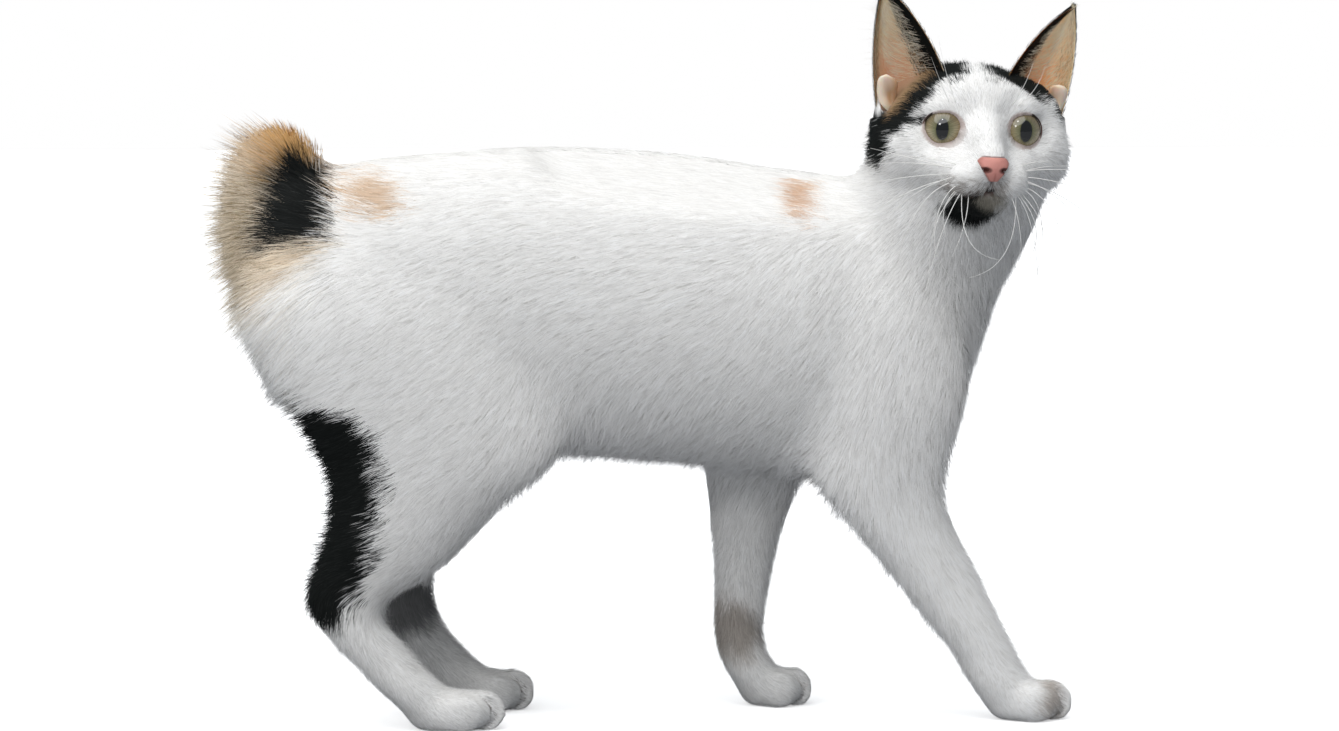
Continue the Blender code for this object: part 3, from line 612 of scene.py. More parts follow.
def painted(name, roughness, more=None, bump=None):
    """A Principled material whose colour is the attribute "paint", with an optional fine bump."""
    made = bpy.data.materials.new(name)
    made.use_nodes = True
    tree = made.node_tree
    shader = tree.nodes["Principled BSDF"]
    shader.inputs["Roughness"].default_value = roughness
    for key, value in (more or {}).items():
        shader.inputs[key].default_value = value
    paint = add(tree, "ShaderNodeAttribute", {"attribute_name": "paint"})
    tree.links.new(paint.outputs["Color"], shader.inputs["Base Color"])
    if bump:
        grain, height = bump
        place = add(tree, "ShaderNodeTexCoord")
        noise = add(tree, "ShaderNodeTexNoise", {"Scale": grain}, {"Vector": place.outputs["Object"]})
        bumped = add(tree, "ShaderNodeBump", {"Distance": height}, {"Height": noise.outputs["Fac"]})
        tree.links.new(bumped.outputs["Normal"], shader.inputs["Normal"])
    return made


def paint(made, colours, material):
    """Stores one colour per point as the attribute "paint" and gives the piece its material."""
    layer = made.data.color_attributes.new("paint", "FLOAT_COLOR", "POINT")
    full = np.ones((len(colours), 4), np.float32)
    full[:, :3] = colours
    layer.data.foreach_set("color", full.ravel())
    made.data.materials.append(material)


skin = shown("skin", skin_data)
skin_data.vertices.foreach_set("co", ((skin_points + SHIFT) * 0.001).astype(np.float32).ravel())
skin_data.update()
paint(skin, skin_colours(), painted("short undercoat over skin", 0.9, bump=(900, 0.0006)))
bpy.context.view_layer.objects.active = skin
skin.select_set(True)
bpy.ops.object.mode_set(mode="EDIT")
bpy.ops.mesh.select_all(action="SELECT")
skin_data.uv_layers.new(name="OFBake")
bpy.ops.uv.smart_project(angle_limit=math.radians(70), island_margin=0.0015)
bpy.ops.object.mode_set(mode="OBJECT")
skin_data = skin.data
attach(skin, "root")
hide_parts("torso", "neck", "head", *LEG_NODES)

# The coat: short white hair that lies along the skin, made of flat tapered tufts rooted in it. They
# run back over the face, skull and back, down the flanks, chest and legs, and forward over the toes.
# Each guide gives a place, the way the hair lies there and how far that reaches, seven numbers.
FLANK_GUIDES = (
    (-20, -58, 240, -1, 0, -0.20, 30),
    (-20, -58, 200, -0.9, 0, -0.42, 28),
    (-20, -54, 150, -0.5, 0, -0.86, 26),
    (-72, -54, 145, -0.45, 0, -0.9, 24),
    (60, -55, 190, -0.66, 0, -0.75, 30),
    (-120, -55, 245, -0.93, 0, -0.35, 30),
    (-120, -60, 195, -0.82, 0, -0.57, 30),
    (-115, -60, 150, -0.85, 0, -0.53, 26),
    (-190, -20, 190, -0.72, 0, -0.7, 30),
    (-165, -40, 140, -0.93, 0, -0.36, 26),
    (110, -42, 225, -0.6, 0, -0.8, 28),
    (-160, -18, 250, -0.75, 0, 0.65, 20),
)
BACK_AND_LEG_GUIDES = (
    (-150, 0, 280, -1, 0, 0.1, 40),
    (-60, 0, 285, -1, 0, 0, 40),
    (40, 0, 280, -1, 0, -0.05, 40),
    (85, 0, 262, -0.9, 0, 0.3, 30),
    (-150, -38, 85, -0.93, 0, -0.36, 22),
    (-140, 30, 80, -0.93, 0, -0.36, 20),
    (-20, 0, 130, -0.9, 0, -0.45, 34),
    (60, 0, 122, -0.85, 0, -0.5, 30),
    (-90, 0, 135, -0.85, 0, -0.5, 30),
    (150, 0, 190, 0, 0, -1, 30),
    (140, 0, 150, -0.2, 0, -1, 26),
    (165, 0, 225, -0.15, 0, -1, 24),
    (105, -40, 170, -0.3, 0, -0.95, 28),
    (60, 40, 165, -0.2, 0, -0.98, 28),
    (115, -35, 115, 0.15, 0, -1, 24),
    (125, -30, 70, 0.42, 0, -0.9, 22),
    (155, -30, 38, 0.42, 0, -0.9, 20),
    (50, 32, 110, -0.1, 0, -1, 24),
    (42, 30, 60, 0, 0, -1, 22),
    (45, 30, 33, 0.25, 0, -0.95, 16),
    (-120, -38, 105, -0.5, 0, -0.87, 16),
    (-168, -38, 52, 0.2, 0, -0.98, 14),
    (-135, -38, 30, 0.65, 0, -0.75, 20),
    (-112, 30, 100, -0.45, 0, -0.9, 16),
    (-142, 28, 50, 0.3, 0, -0.95, 14),
    (-112, 26, 30, 0.65, 0, -0.75, 20),
    (185, -28, 12, 0.9, 0, -0.45, 16),
    (65, 30, 12, 0.9, 0, -0.45, 16),
    (-95, -38, 12, 0.9, 0, -0.45, 16),
    (-78, 26, 12, 0.9, 0, -0.45, 16),
)
HEAD_GUIDES = (
    (24, 0, -12, -0.8, 0, 0.6, 8),
    (10, 0, 2, -0.75, 0, 0.65, 10),
    (0, 0, 16, -0.7, 0, 0.7, 12),
    (-20, 0, 28, -1, 0, 0.2, 16),
    (-45, 0, 32, -1, 0, -0.1, 18),
    (-75, 0, 15, -0.7, 0, -0.7, 22),
    (2, 8, 4, -0.6, 0.35, 0.7, 9),
    (-4, 18, 14, -0.7, 0.5, 0.6, 9),
    (-14, 28, 12, -0.7, 0.8, 0.35, 10),
    (-12, 30, 0, -0.7, 0.9, 0, 9),
    (2, 17, -13, -0.6, 0.8, -0.15, 9),
    (-12, 30, -14, -0.7, 0.75, -0.4, 12),
    (-25, 42, -14, -0.8, 0.5, -0.5, 14),
    (-45, 45, -18, -0.8, 0, -0.65, 18),
    (-40, 38, 8, -0.9, 0.2, -0.3, 14),
    (18, 8, -24, -0.35, 0.9, -0.25, 7),
    (10, 17, -24, -0.6, 0.8, -0.25, 8),
    (23, 3, -27, -0.1, 0.7, -0.7, 4),
    (14, 0, -37, -0.4, 0.1, -0.9, 7),
    (4, 0, -44, -0.9, 0, -0.4, 9),
    (2, 15, -38, -0.75, 0.4, -0.5, 9),
    (-20, 25, -38, -0.7, 0.3, -0.65, 16),
    (-20, 0, -50, -0.7, 0, -0.7, 18),
)


def on_both_sides(rows):
    """Guides, each followed by its mirror image across y = 0."""
    both = np.repeat(np.array(rows, float), 2, axis=0)
    both[1::2, 1] *= -1
    both[1::2, 4] *= -1
    return both


head_guides = on_both_sides(HEAD_GUIDES)
head_guides[:, :3] = from_head(head_guides[:, :3])
head_guides[:, 3:6] = head_guides[:, 3:6] @ HEAD[:3, :3].T
guides = np.concatenate([on_both_sides(FLANK_GUIDES), np.array(BACK_AND_LEG_GUIDES, float), head_guides])
guides[:, 3:6] = unit(guides[:, 3:6])


def lie(points, normals):
    """The way the hair lies: the guides' directions, each weighted by exp(-(gap / reach)^2), in the skin."""
    total = np.zeros_like(points)
    weight = np.full(len(points), 1e-12)
    for row in guides:
        gap = ((points - row[:3]) ** 2).sum(1) / row[6] ** 2
        pull = np.exp(-gap) * (30 / row[6]) ** 0.5 + 1e-9 / (1 + gap)
        total += pull[:, None] * row[3:6]
        weight += pull
    total /= weight[:, None]
    total -= normals * np.einsum("ij,ij->i", total, normals)[:, None]
    return unit(total)


def hair_length(points):
    """10.5 on the body, 7 on the legs, 3.4 on the paws, 6.4 on the head down to 2.6 on the muzzle.

    It is up to 4 longer behind haunch and right leg, behind the forearm, under the belly and on the cheeks.
    """
    x, y, z = points.T
    local = in_head(points)
    ahead, left, rise = local.T
    length = 10.5 - 3.5 * soft(150, 80, z) - 3.6 * soft(40, 16, z)
    length += 4.0 * soft(-150, -185, x) * soft(60, 120, z)
    length += 3.5 * soft(-130, -155, x) * soft(48, 66, z) * soft(120, 90, z)
    length += 2.5 * (y < -6) * soft(55, 75, x) * soft(30, 60, z) * soft(150, 120, z)
    length += 2.5 * soft(122, 112, z) * soft(88, 98, z) * soft(100, 80, np.abs(x))
    head_length = 6.4 - 2.6 * soft(-25, 0, ahead) - 1.2 * soft(2, 14, ahead)
    head_length += 1.8 * soft(28, 40, np.abs(left)) * soft(8, -6, rise)
    head_length += 1.0 * soft(-22, -27, rise) * soft(4, 10, ahead) * (rise > -33)
    return length + on_skull(local, 50) * (head_length - length)


def onto_skin(targets):
    """The nearest point of the skin to each target, and the skin's normal there."""
    found = [surface.find_nearest(Vector(row)) for row in targets]
    return np.array([row[0] for row in found]), np.array([row[1] for row in found])


skin_lie = lie(skin_points, skin_normals)
skin_length = hair_length(skin_points)
skin_depth = coat_depth(skin_points)
surface = BVHTree.FromPolygons(skin_points.tolist(), skin_faces.tolist())
half_place, half_normal = onto_skin(skin_points + skin_lie * (skin_length / 2)[:, None])
half_lie = lie(half_place, half_normal)
end_place, end_normal = onto_skin(half_place + half_lie * (skin_length / 2)[:, None])
to_half, to_end = half_place - skin_points, end_place - skin_points

skin_uv = np.empty(len(skin_data.loops) * 2, np.float32)
skin_data.uv_layers["OFBake"].data.foreach_get("uv", skin_uv)
skin_uv = skin_uv.reshape(-1, 2)
corner_loops = triangles(skin_data, "loops")
corner_faces = triangles(skin_data)


def bald(points):
    """True where no tuft is rooted: between the lids, on the bare nose, under the ears and soles."""
    off = (points[:, 2] < 0.9) | (toe_clefts(points) > 0.55)
    for side in (1, -1):
        near = in_eye(points, side)
        off |= (near[:, 0] > 0) & (np.linalg.norm(near, axis=1) < 15) & (almond(near, side) < 1.09)
    local = in_head(points)
    ahead, aside, above_nose = local[:, 0], np.abs(local[:, 1]), local[:, 2] + 18.6
    wide = np.interp(above_nose, (-6.5, -0.6, 3.4, 6.4), (1.6, 5.6, 7.4, 5.6))
    off |= (over_ear_line(local) > -0.3) & (ahead < -18) & (ahead > -52.5)
    off |= (ahead > 10) & (aside < 1.8) & (np.abs(local[:, 2] + 29) < 2.2)
    return off | ((ahead > 13) & (aside < wide) & (np.abs(above_nose) < 6.5))


def fringe(root, normal):
    """How far the hair stands off, 0 to 1: under the belly, behind thigh and haunch, on chest and cheeks."""
    x, _, z = root.T
    local = in_head(root)
    ahead, left, rise = local.T
    body = 1 - on_skull(local, 50)
    belly = soft(0.1, 0.8, -normal[:, 2]) * soft(100, 116, z) * soft(-120, -90, x)
    rear = soft(-118, -150, x) * soft(0.0, 0.6, -normal[:, 0]) * soft(46, 62, z)
    chest = 0.5 * soft(0.2, 0.8, normal[:, 0]) * soft(95, 120, z) * soft(20, 60, x)
    legs = np.maximum(0.6 * soft(110, 80, z) * soft(8, 20, z), 0.8 * behind_forearm(root, normal))
    cheeks = 0.7 * soft(30, 42, np.abs(left)) * soft(6, -6, rise)
    pads = 0.5 * soft(-23, -27, rise) * soft(4, 10, ahead) * (rise > -33)
    crown = 0.6 * soft(20, 26, rise)
    on_head = (1 - body) * np.max([cheeks, pads, crown], 0)
    return np.maximum(body * np.max([belly, rear, chest, legs], 0), on_head)


def tuft_looks(colour, shade, darkest, uv, drift, facing):
    """Colour, place on the map and normal at each point of tufts that share one factor of painted shade and
    light per point: darker at the root, lighter at the tip.
    """
    colours = np.clip(colour[:, None] * np.array(shade)[:, None], darkest, 0.93)
    places = np.clip(uv[:, None] + np.array(drift) * 0.0015, 0, 1)
    return colours, places, np.repeat(facing[:, None], len(shade), 1)


# A tuft has two points at the root, two further on and one at the tip. On the map it covers a
# patch 0.003 wide at its root's place.
BLADE_FACES = ((0, 1, 3), (0, 3, 2), (2, 3, 4))
BLADE_DRIFT = ((-1, -1), (1, -1), (-1, 0), (1, 0), (0, 1))


def blades(count, seed):
    """Tufts on the skin, chosen by area / length^1.35: their points, colours, map places and normals.

    A tuft leaves the skin steeply, then runs at 0.7 to 0.95 of the coat's depth over the skin's
    point a length on. In a fringe it stands off by up to three quarters of its length.
    """
    dice = np.random.default_rng(seed)
    a, b, c = (skin_points[corner_faces[:, i]] for i in range(3))
    area = np.linalg.norm(np.cross(b - a, c - a), axis=1)
    odds = area / skin_length[corner_faces].mean(1) ** 1.35
    chosen = dice.choice(len(odds), count, p=odds / odds.sum())
    weights = dice.dirichlet((1, 1, 1), count)
    corners = corner_faces[chosen]

    def mixed(values):
        return (values[corners] * weights[:, :, None]).sum(1)

    root, normal = mixed(skin_points), unit(mixed(skin_normals))
    middle, end = mixed(to_half), mixed(to_end)
    normal_half_on, normal_at_end = unit(mixed(half_normal)), unit(mixed(end_normal))
    depth = mixed(skin_depth[:, None])
    length = mixed(skin_length[:, None])
    keep = ~bald(root)
    stretch = dice.uniform(0.7, 1.15, (count, 1))
    sway = 0.10 * ripple(root, 8, 11)[:, None] + 0.06 * dice.normal(size=(count, 1))
    across = unit(np.cross(end, normal))
    long = np.linalg.norm(end, axis=1, keepdims=True)
    height = depth * dice.uniform(0.7, 0.95, (count, 1))
    clump = np.clip(0.75 + 0.45 * ripple(root, 4, 12), 0, 1.3)
    off = (fringe(root, normal) * clump)[:, None] * dice.uniform(0.1, 1.0, (count, 1))
    lifted = normal_at_end * (height + 0.75 * off * length)
    mid = root + middle * 0.62 * stretch + across * long * sway * 0.25 + normal_half_on * height * 0.85
    tip = root + end * stretch * (1 - 0.35 * off) + across * long * sway + lifted
    for side in (1, -1):
        near = in_eye(tip, side)
        keep &= (near[:, 0] < 0) | (np.linalg.norm(near, axis=1) > 17) | (almond(near, side) > 1.04)
    low = root - normal * 0.2
    way = unit(tip - mid)
    roll = dice.uniform(-0.2, 0.2, (count, 1))
    flat = unit(np.cross(way, normal_half_on))
    flat = flat * np.cos(roll) + normal_half_on * np.sin(roll)
    half = flat * (0.09 + 0.024 * length) * dice.uniform(0.7, 1.2, (count, 1)) / 2
    points = np.stack([low - half, low + half, mid - half, mid + half, tip], 1)
    colour = markings(root + 0.6 * end * stretch, dice.uniform(-1, 1, count))
    colour = colour * (1 + (0.08 + 0.07 * soft(9, 6, length)) * dice.normal(size=(count, 1)))
    colour = colour + 0.003 * dice.exponential(size=(count, 1))
    uv = (skin_uv[corner_loops[chosen]] * weights[:, :, None]).sum(1)
    facing = unit(np.cross(flat, way) + 4 * normal)
    # Painted shade and light: each tuft is darker at its root and lighter at its tip.
    looks = tuft_looks(colour, (0.9, 0.9, 0.97, 0.97, 1.02), 0.003, uv, BLADE_DRIFT, facing)
    return [values[keep] for values in (points, *looks)]


def bake_map(made, uv):
    """Stores one (u, v) per point as the UV map OFBake."""
    corners = np.empty(len(made.data.loops), np.int32)
    made.data.loops.foreach_get("vertex_index", corners)
    layer = made.data.uv_layers.new(name="OFBake")
    layer.data.foreach_set("uv", uv[corners].astype(np.float32).ravel())


def coat_piece(name, points, colours, uv, facing, faces=BLADE_FACES):
    """One object from stacks of tufts that all have the same points and faces."""
    starts = np.arange(len(points))[:, None, None] * points.shape[1]
    made = piece(name, points.reshape(-1, 3), (starts + np.array(faces)).reshape(-1, 3))
    paint(made, colours.reshape(-1, 3), hair)
    bake_map(made, uv.reshape(-1, 2))
    made.data.normals_split_custom_set_from_vertices(facing.reshape(-1, 3))
    made.visible_shadow = False
    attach(made, "root")
    return made


COAT_PIECES = 7
TUFTS_EACH = 62000
hair = painted("cat hair", 0.75, {"Specular IOR Level": 0.12})
for number in range(COAT_PIECES):
    coat_piece(f"coat_{number + 1}", *blades(TUFTS_EACH, 100 + number))

# The pompon of the bobbed tail: tufts about twice as long as the coat's, in three spans each, that
# fan out from the tail's hooked core and from the rump beside it, outwards, back and then down.
core_way = unit(np.gradient(core_line, axis=0))
POMPON_MIDDLE = np.array((-173.0, 0.0, 247.0))
LOCK_FACES = ((0, 1, 3), (0, 3, 2), (2, 3, 5), (2, 5, 4), (4, 5, 6))
LOCK_DRIFT = np.stack([(-1, 1, -1, 1, -1, 1, 0), np.linspace(-1, 1, 7)], 1)


def pompon(count, seed):
    """Tufts about 8 to 16 mm long, with strays up to twice that, from the core and from the rump.

    At share t a tuft is at root + length (t heading + t^2 bend), with the heading mostly outwards.
    """
    dice = np.random.default_rng(seed)
    share = dice.uniform(0.1, 1, count) ** 0.9
    row = share * (len(core_line) - 1)
    i = np.minimum(row.astype(int), len(core_line) - 2)
    mix = (row - i)[:, None]
    centre = core_line[i] * (1 - mix) + core_line[i + 1] * mix
    way = unit(core_way[i] * (1 - mix) + core_way[i + 1] * mix)
    radius = (core[i, 2:] * (1 - mix) + core[i + 1, 2:] * mix) * 0.8
    turn = dice.uniform(0, 2 * math.pi, count)[:, None]
    out = np.array((0.0, 1.0, 0.0)) * np.cos(turn) + np.cross(way, (0.0, 1.0, 0.0)) * np.sin(turn)
    out = unit(out + 0.2 * dice.normal(size=(count, 3)))
    root = centre + out * radius
    uv = np.stack([share * 0.46 + 0.02, turn[:, 0] / (2 * math.pi) * 0.96 + 0.02], 1)
    on_core = ~((out[:, 0] > 0.35) & (share > 0.3) & (dice.uniform(size=count) < 0.85))

    x, _, z = skin_points.T
    rump = (x < -160) & (z > 212) & (z < 262 + 1.2 * np.maximum(0, -168 - x))
    rump |= (x < -178) & (z > 168) & (z < 213)
    chosen = dice.choice(np.flatnonzero(rump), count // 2)
    rump_root = skin_points[chosen] + 0.8 * dice.normal(size=(len(chosen), 3))
    rump_uv = np.stack([0.5 + 0.46 * soft(-210, -160, rump_root[:, 0]), soft(200, 290, rump_root[:, 2])], 1)
    root = np.concatenate([root[on_core], rump_root])
    out = np.concatenate([out[on_core], skin_normals[chosen]])
    way = np.concatenate([way[on_core], np.zeros((len(chosen), 3))])
    uv = np.concatenate([uv[on_core], rump_uv])
    n = len(root)
    from_rump = np.arange(n)[:, None] >= on_core.sum()

    away = unit((root - POMPON_MIDDLE) * np.array((1.0, 0.5, 1.0)))
    clump = unit(np.stack([ripple(root, 6, 21), ripple(root, 6, 22), ripple(root, 6, 23)], 1) + 1e-6)
    jitter = 0.15 * clump + 0.09 * dice.normal(size=(n, 3))
    heading = unit(out * 0.4 + away * 0.75 + way * 0.1 + np.array((-0.12, 0.0, 0.0)) + jitter)
    rise = np.interp(root[:, 2], (170, 212, 235, 262), (-1.6, -0.85, -0.1, 0.55))
    sweep = np.stack([np.full(n, -0.85), np.zeros(n), rise], 1)
    heading = np.where(from_rump, unit(out * 0.3 + sweep + jitter), heading)
    length = np.interp(heading[:, 0], (-0.9, -0.3, 0.1, 0.6), (16, 14, 11, 8))[:, None]
    fading = np.interp(root[:, 2], (168, 190, 212), (5, 9, 14.5))[:, None]
    length = np.where(from_rump, fading, length) * dice.uniform(0.6, 1.1, (n, 1))
    stray = (dice.uniform(size=(n, 1)) < 0.26) * soft(-0.3, -0.8, heading[:, :1])
    length = length * (1 + stray * dice.uniform(0.3, 1.0, (n, 1)))
    bend = np.where(from_rump, np.array((-0.08, 0.0, -0.1)), np.array((-0.02, 0.0, -0.07)) - out * 0.08)
    width = 0.165 * dice.uniform(0.7, 1.25, (n, 1)) * (1 - 0.4 * stray)
    roll = dice.uniform(-1.0, 1.0, (n, 1))
    across = unit(np.cross(heading, out) + 1e-6)
    across = unit(across * np.cos(roll) + np.cross(across, heading) * np.sin(roll))
    points = []
    for t in np.linspace(0, 1, 4)[:-1]:
        at = root + length * (t * heading + t * t * bend)
        points += [at - across * width * (1 - 0.4 * t), at + across * width * (1 - 0.4 * t)]
    tip = root + length * (heading + bend)
    points = np.stack([*points, tip], 1)
    kept = (tip[:, 0] < -169) | (tip[:, 2] < 263)
    colour = markings(root + 0.45 * (tip - root), dice.uniform(-1, 1, n))
    colour = colour * (1 + 0.18 * dice.normal(size=(n, 1))) + 0.006 * dice.exponential(size=(n, 1))
    tint(colour, "#e9ddca", 0.4 * stray[:, 0] * soft(0.05, 0.2, colour[:, 0]))
    facing = unit(np.cross(across, heading) + 1.6 * unit(out + 0.4 * away))
    # Painted shade and light: each tuft is darker at its root and lighter at its tip.
    looks = tuft_looks(colour, (0.8, 0.8, 0.9, 0.9, 1.0, 1.0, 1.1), 0.004, uv, LOCK_DRIFT, facing)
    return [values[kept] for values in (points, *looks)]


tail_piece = coat_piece("tail_hair", *pompon(26000, 7), LOCK_FACES)
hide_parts("tail")

# The ears: thin cups of skin that stand from the sides of the skull, tan and nearly bare inside,
# black behind. Each is an arc through three edges that run from root to tip: the inner edge, the
# middle of the back and the outer edge.
EARS = {
    "left": (
        ((-22, 12, 18), (-21, 25, 48), (-26, 47.3, 61.5)),
        ((-56, 30, 2), (-48, 42, 40), (-27, 47.5, 61.7)),
        ((-34, 43, -5), (-29, 54, 31), (-26.5, 48.2, 61.2)),
    ),
    "right": (
        ((-22, -12, 18), (-21, -25, 50), (-26, -46.8, 66.5)),
        ((-56, -30, 2), (-48, -42, 42), (-27, -47, 66.8)),
        ((-34, -43, -5), (-29, -54, 33), (-26.5, -47.8, 66.2)),
    ),
}
# The colours inside each ear, and how far across the cup its dark inner edge reaches.
# The left ear's warmer, more orange tones are painted light shining through its thin skin.
EAR_TONES = {"left": ("#fccb94", "#ffb581", "#f6cd9e"), "right": ("#ead0ab", "#ebb590", "#dcbf98")}
DARK_EDGE_ENDS = {"left": -0.66, "right": -0.86}
TALL, BROAD = 60, 48


def ear_surface(edges, s, t):
    """The arc through the three edges' points at height t: s runs from -1, inner, to 1, outer."""
    shares = np.stack([(1 - t) ** 2, 2 * t * (1 - t), t**2], -1)
    inner, back, outer = (shares @ edge for edge in np.array(edges, float))
    s = s[..., None]
    return inner * (s * (s - 1) / 2) + back * (1 - s * s) + outer * (s * (s + 1) / 2)


def cup_faces():
    """Quads of a grid's front, of its back, whose points follow, and of the rim between them."""
    quads = grid_quads(TALL, BROAD, False)[:, [0, 3, 2, 1]]
    rim = np.concatenate(
        [
            np.arange(BROAD),
            np.arange(1, TALL) * BROAD + BROAD - 1,
            (TALL - 1) * BROAD + np.arange(BROAD - 2, -1, -1),
            np.arange(TALL - 2, 0, -1) * BROAD,
        ]
    )
    after = np.roll(rim, -1)
    strip = np.stack([rim, rim + TALL * BROAD, after + TALL * BROAD, after], 1)
    return np.concatenate([quads, quads[:, ::-1] + TALL * BROAD, strip])


translucent = {"Subsurface Weight": 0.6, "Subsurface Radius": (0.004, 0.002, 0.0012)}
ear_skin = painted("thin ear skin", 0.6, {**translucent, "Subsurface Scale": 1.0})
for side_name, edges in EARS.items():
    mirror = 1 if side_name == "left" else -1
    dark_end = DARK_EDGE_ENDS[side_name]
    t, s = np.meshgrid(np.linspace(0, 1, TALL), np.linspace(-1, 1, BROAD), indexing="ij")
    sheet = ear_surface(edges, s, t)
    facing = unit(np.cross(np.gradient(sheet, axis=0), np.gradient(sheet, axis=1)))
    before_cup = np.array((-10.0, mirror * 30.0, 25.0))
    hollow = np.sign(np.einsum("ijk,ijk->ij", facing, before_cup - sheet).mean())
    facing = facing * hollow
    facing[-1] = facing[-2]
    thick = 0.75 * np.sqrt(np.clip(1 - np.abs(s) ** 6, 0, 1)) * (1 - 0.5 * t)
    ridge = 0.25 * np.exp(-(((s - 0.2 - 0.1 * t) / 0.16) ** 2)) * soft(0.0, 0.3, t) * soft(0.8, 0.3, t)
    front = sheet + facing * (thick + 0.7 * ridge)[..., None]
    rear = sheet - facing * thick[..., None]
    points = from_head(np.concatenate([front.reshape(-1, 3), rear.reshape(-1, 3)]))
    faces = cup_faces()[:, ::-1] if hollow > 0 else cup_faces()

    tan, flesh, brown = EAR_TONES[side_name]
    inside = np.tile(rgb(tan), (TALL, BROAD, 1))
    tint(inside, flesh, soft(0.75, 0.25, t) * np.exp(-((s / 0.7) ** 2)))
    tint(inside, brown, 0.5 * soft(0.5, 0.95, t))
    # Darker low down the middle of the cup: painted shade in its depth.
    inside *= (1 - 0.22 * soft(0.42, 0.05, t) * soft(1.1, 0.4, np.abs(s)))[..., None]
    # Olive towards the outer edge, more on the right ear: painted shade along that edge.
    tint(inside, "#6b6045", (0.3 if mirror > 0 else 0.75) * soft(0.3, 1.0, s))
    dark_from = dark_end + 0.08 * mirror * (1 - t) ** 2
    tint(inside, "#161817", 0.92 * soft(dark_from + 0.26, dark_from - 0.12, s))
    outside = np.tile(rgb("#1f2422"), (TALL, BROAD, 1))
    ear = piece(f"ear_{side_name}_skin", points, faces)
    ear.visible_shadow = False
    paint(ear, np.concatenate([inside.reshape(-1, 3), outside.reshape(-1, 3)]), ear_skin)
    grid_uv = np.stack([(s + 1) / 2 * 0.48 + 0.01, t * 0.98 + 0.01], -1).reshape(-1, 2)
    bake_map(ear, np.concatenate([grid_uv, grid_uv + np.array((0.5, 0))]))
    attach(ear, "root")
    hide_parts(f"ear_{side_name}")

    dice = np.random.default_rng(31 + mirror)

    def ear_tufts(count, where, heading, length, width, rear_side, code, spread):
        """Tufts on the cup: where gives (s, t), heading the way in (s, t), on its front or rear."""
        at_s, at_t = where(count)
        ahead_s, ahead_t = heading(at_s, at_t)

        def beside(more_s, more_t):
            return ear_surface(edges, np.clip(at_s + more_s, -1, 1), np.clip(at_t + more_t, 0, 1))

        base = ear_surface(edges, at_s, at_t)
        way = unit(beside(0.02 * ahead_s, 0.02 * ahead_t) - base)
        face_out = np.cross(beside(0, 0.01) - beside(0, -0.01), beside(0.02, 0) - beside(-0.02, 0))
        face_out = unit(face_out) * hollow * (-1 if rear_side else 1)
        long = length * dice.uniform(0.7, 1.15, (count, 1))
        across = unit(np.cross(way, face_out))
        sway = dice.normal(size=(count, 1)) * spread
        root = base + face_out * 0.5
        mid = root + (way + across * sway * 0.4) * long * 0.5 + face_out * long * 0.10
        tip = root + (way + across * sway) * long + face_out * long * 0.12
        half = across * width / 2 * dice.uniform(0.7, 1.2, (count, 1))
        points = from_head(np.stack([root - half, root + half, mid - half * 0.9, mid + half * 0.9, tip], 1))
        colour = np.tile(rgb(code), (count, 1)) * (1 + 0.12 * dice.normal(size=(count, 1)))
        uv = np.stack([(at_s + 1) / 2 * 0.48 + 0.01 + 0.5 * rear_side, at_t * 0.98 + 0.01], 1)
        facing = unit(face_out @ HEAD[:3, :3].T)
        # Painted shade and light: each tuft is darker at its root and lighter at its tip.
        return points, *tuft_looks(colour, (0.8, 0.8, 0.95, 0.95, 1.05), 0.004, uv, BLADE_DRIFT, facing)

    def anywhere(count):
        return dice.uniform(-1, 1, count), dice.uniform(0, 1, count) ** 1.25 * 0.98

    def inner_skin(count):
        return 1 - 1.85 * dice.beta(1, 1.5, count), dice.uniform(0, 1, count) ** 1.25 * 0.98

    def inner_edge(count):
        at_t = dice.uniform(0.0, 0.92, count)
        reach = (2.1 if mirror < 0 else 0.9 + 0.9 * (1 - at_t) ** 2) * dice.beta(1, 2.6, count)
        return -1 + reach * (1.14 + dark_end + 0.08 * mirror * (1 - at_t) ** 2), at_t

    def in_hollow(count):
        return dice.uniform(-0.95, 0.1, count), dice.uniform(0.0, 0.75, count)

    def outer_edge(count):
        return 1 - 0.5 * dice.uniform(0, 1, count) ** 1.6, dice.uniform(0.05, 0.95, count)

    def foot(count):
        return dice.uniform(0.35, 1.0, count), dice.uniform(0.0, 0.16, count)

    def upward(at_s, at_t):
        return -at_s * 0.1, np.ones(len(at_s))

    def over_hollow(at_s, at_t):
        return np.full(len(at_s), 1.0), 0.1 + 0.6 * at_t

    # Each set: how many, where they are rooted, which way they run, length, width, 1 for the rear
    # side of the cup, colour and how far they stray.
    sets = []
    for count, *rest in (
        (1500, foot, upward, 7.0, 0.2, 0, "#f1efec", 0.6),
        (7000, anywhere, upward, 3.6, 0.22, 1, "#191d1c", 0.2),
        (4200, inner_skin, over_hollow, 5.0, 0.13, 0, "#f6e6cb", 0.3),
        (900, in_hollow, over_hollow, 12.0, 0.15, 0, "#fbf1de", 0.35),
        (4200, inner_edge, upward, 5.0, 0.24, 0, "#121514", 0.25),
        # The olive hairs along the outer edge, far more on the right ear, are painted shade along that edge.
        (250 if mirror > 0 else 1500, outer_edge, upward, 4.0, 0.16, 0, "#75694c", 0.3),
    ):
        sets.append(ear_tufts(int(count * (1.0)), *rest))
    coat_piece(f"ear_{side_name}_hair", *(np.concatenate(values) for values in zip(*sets)))

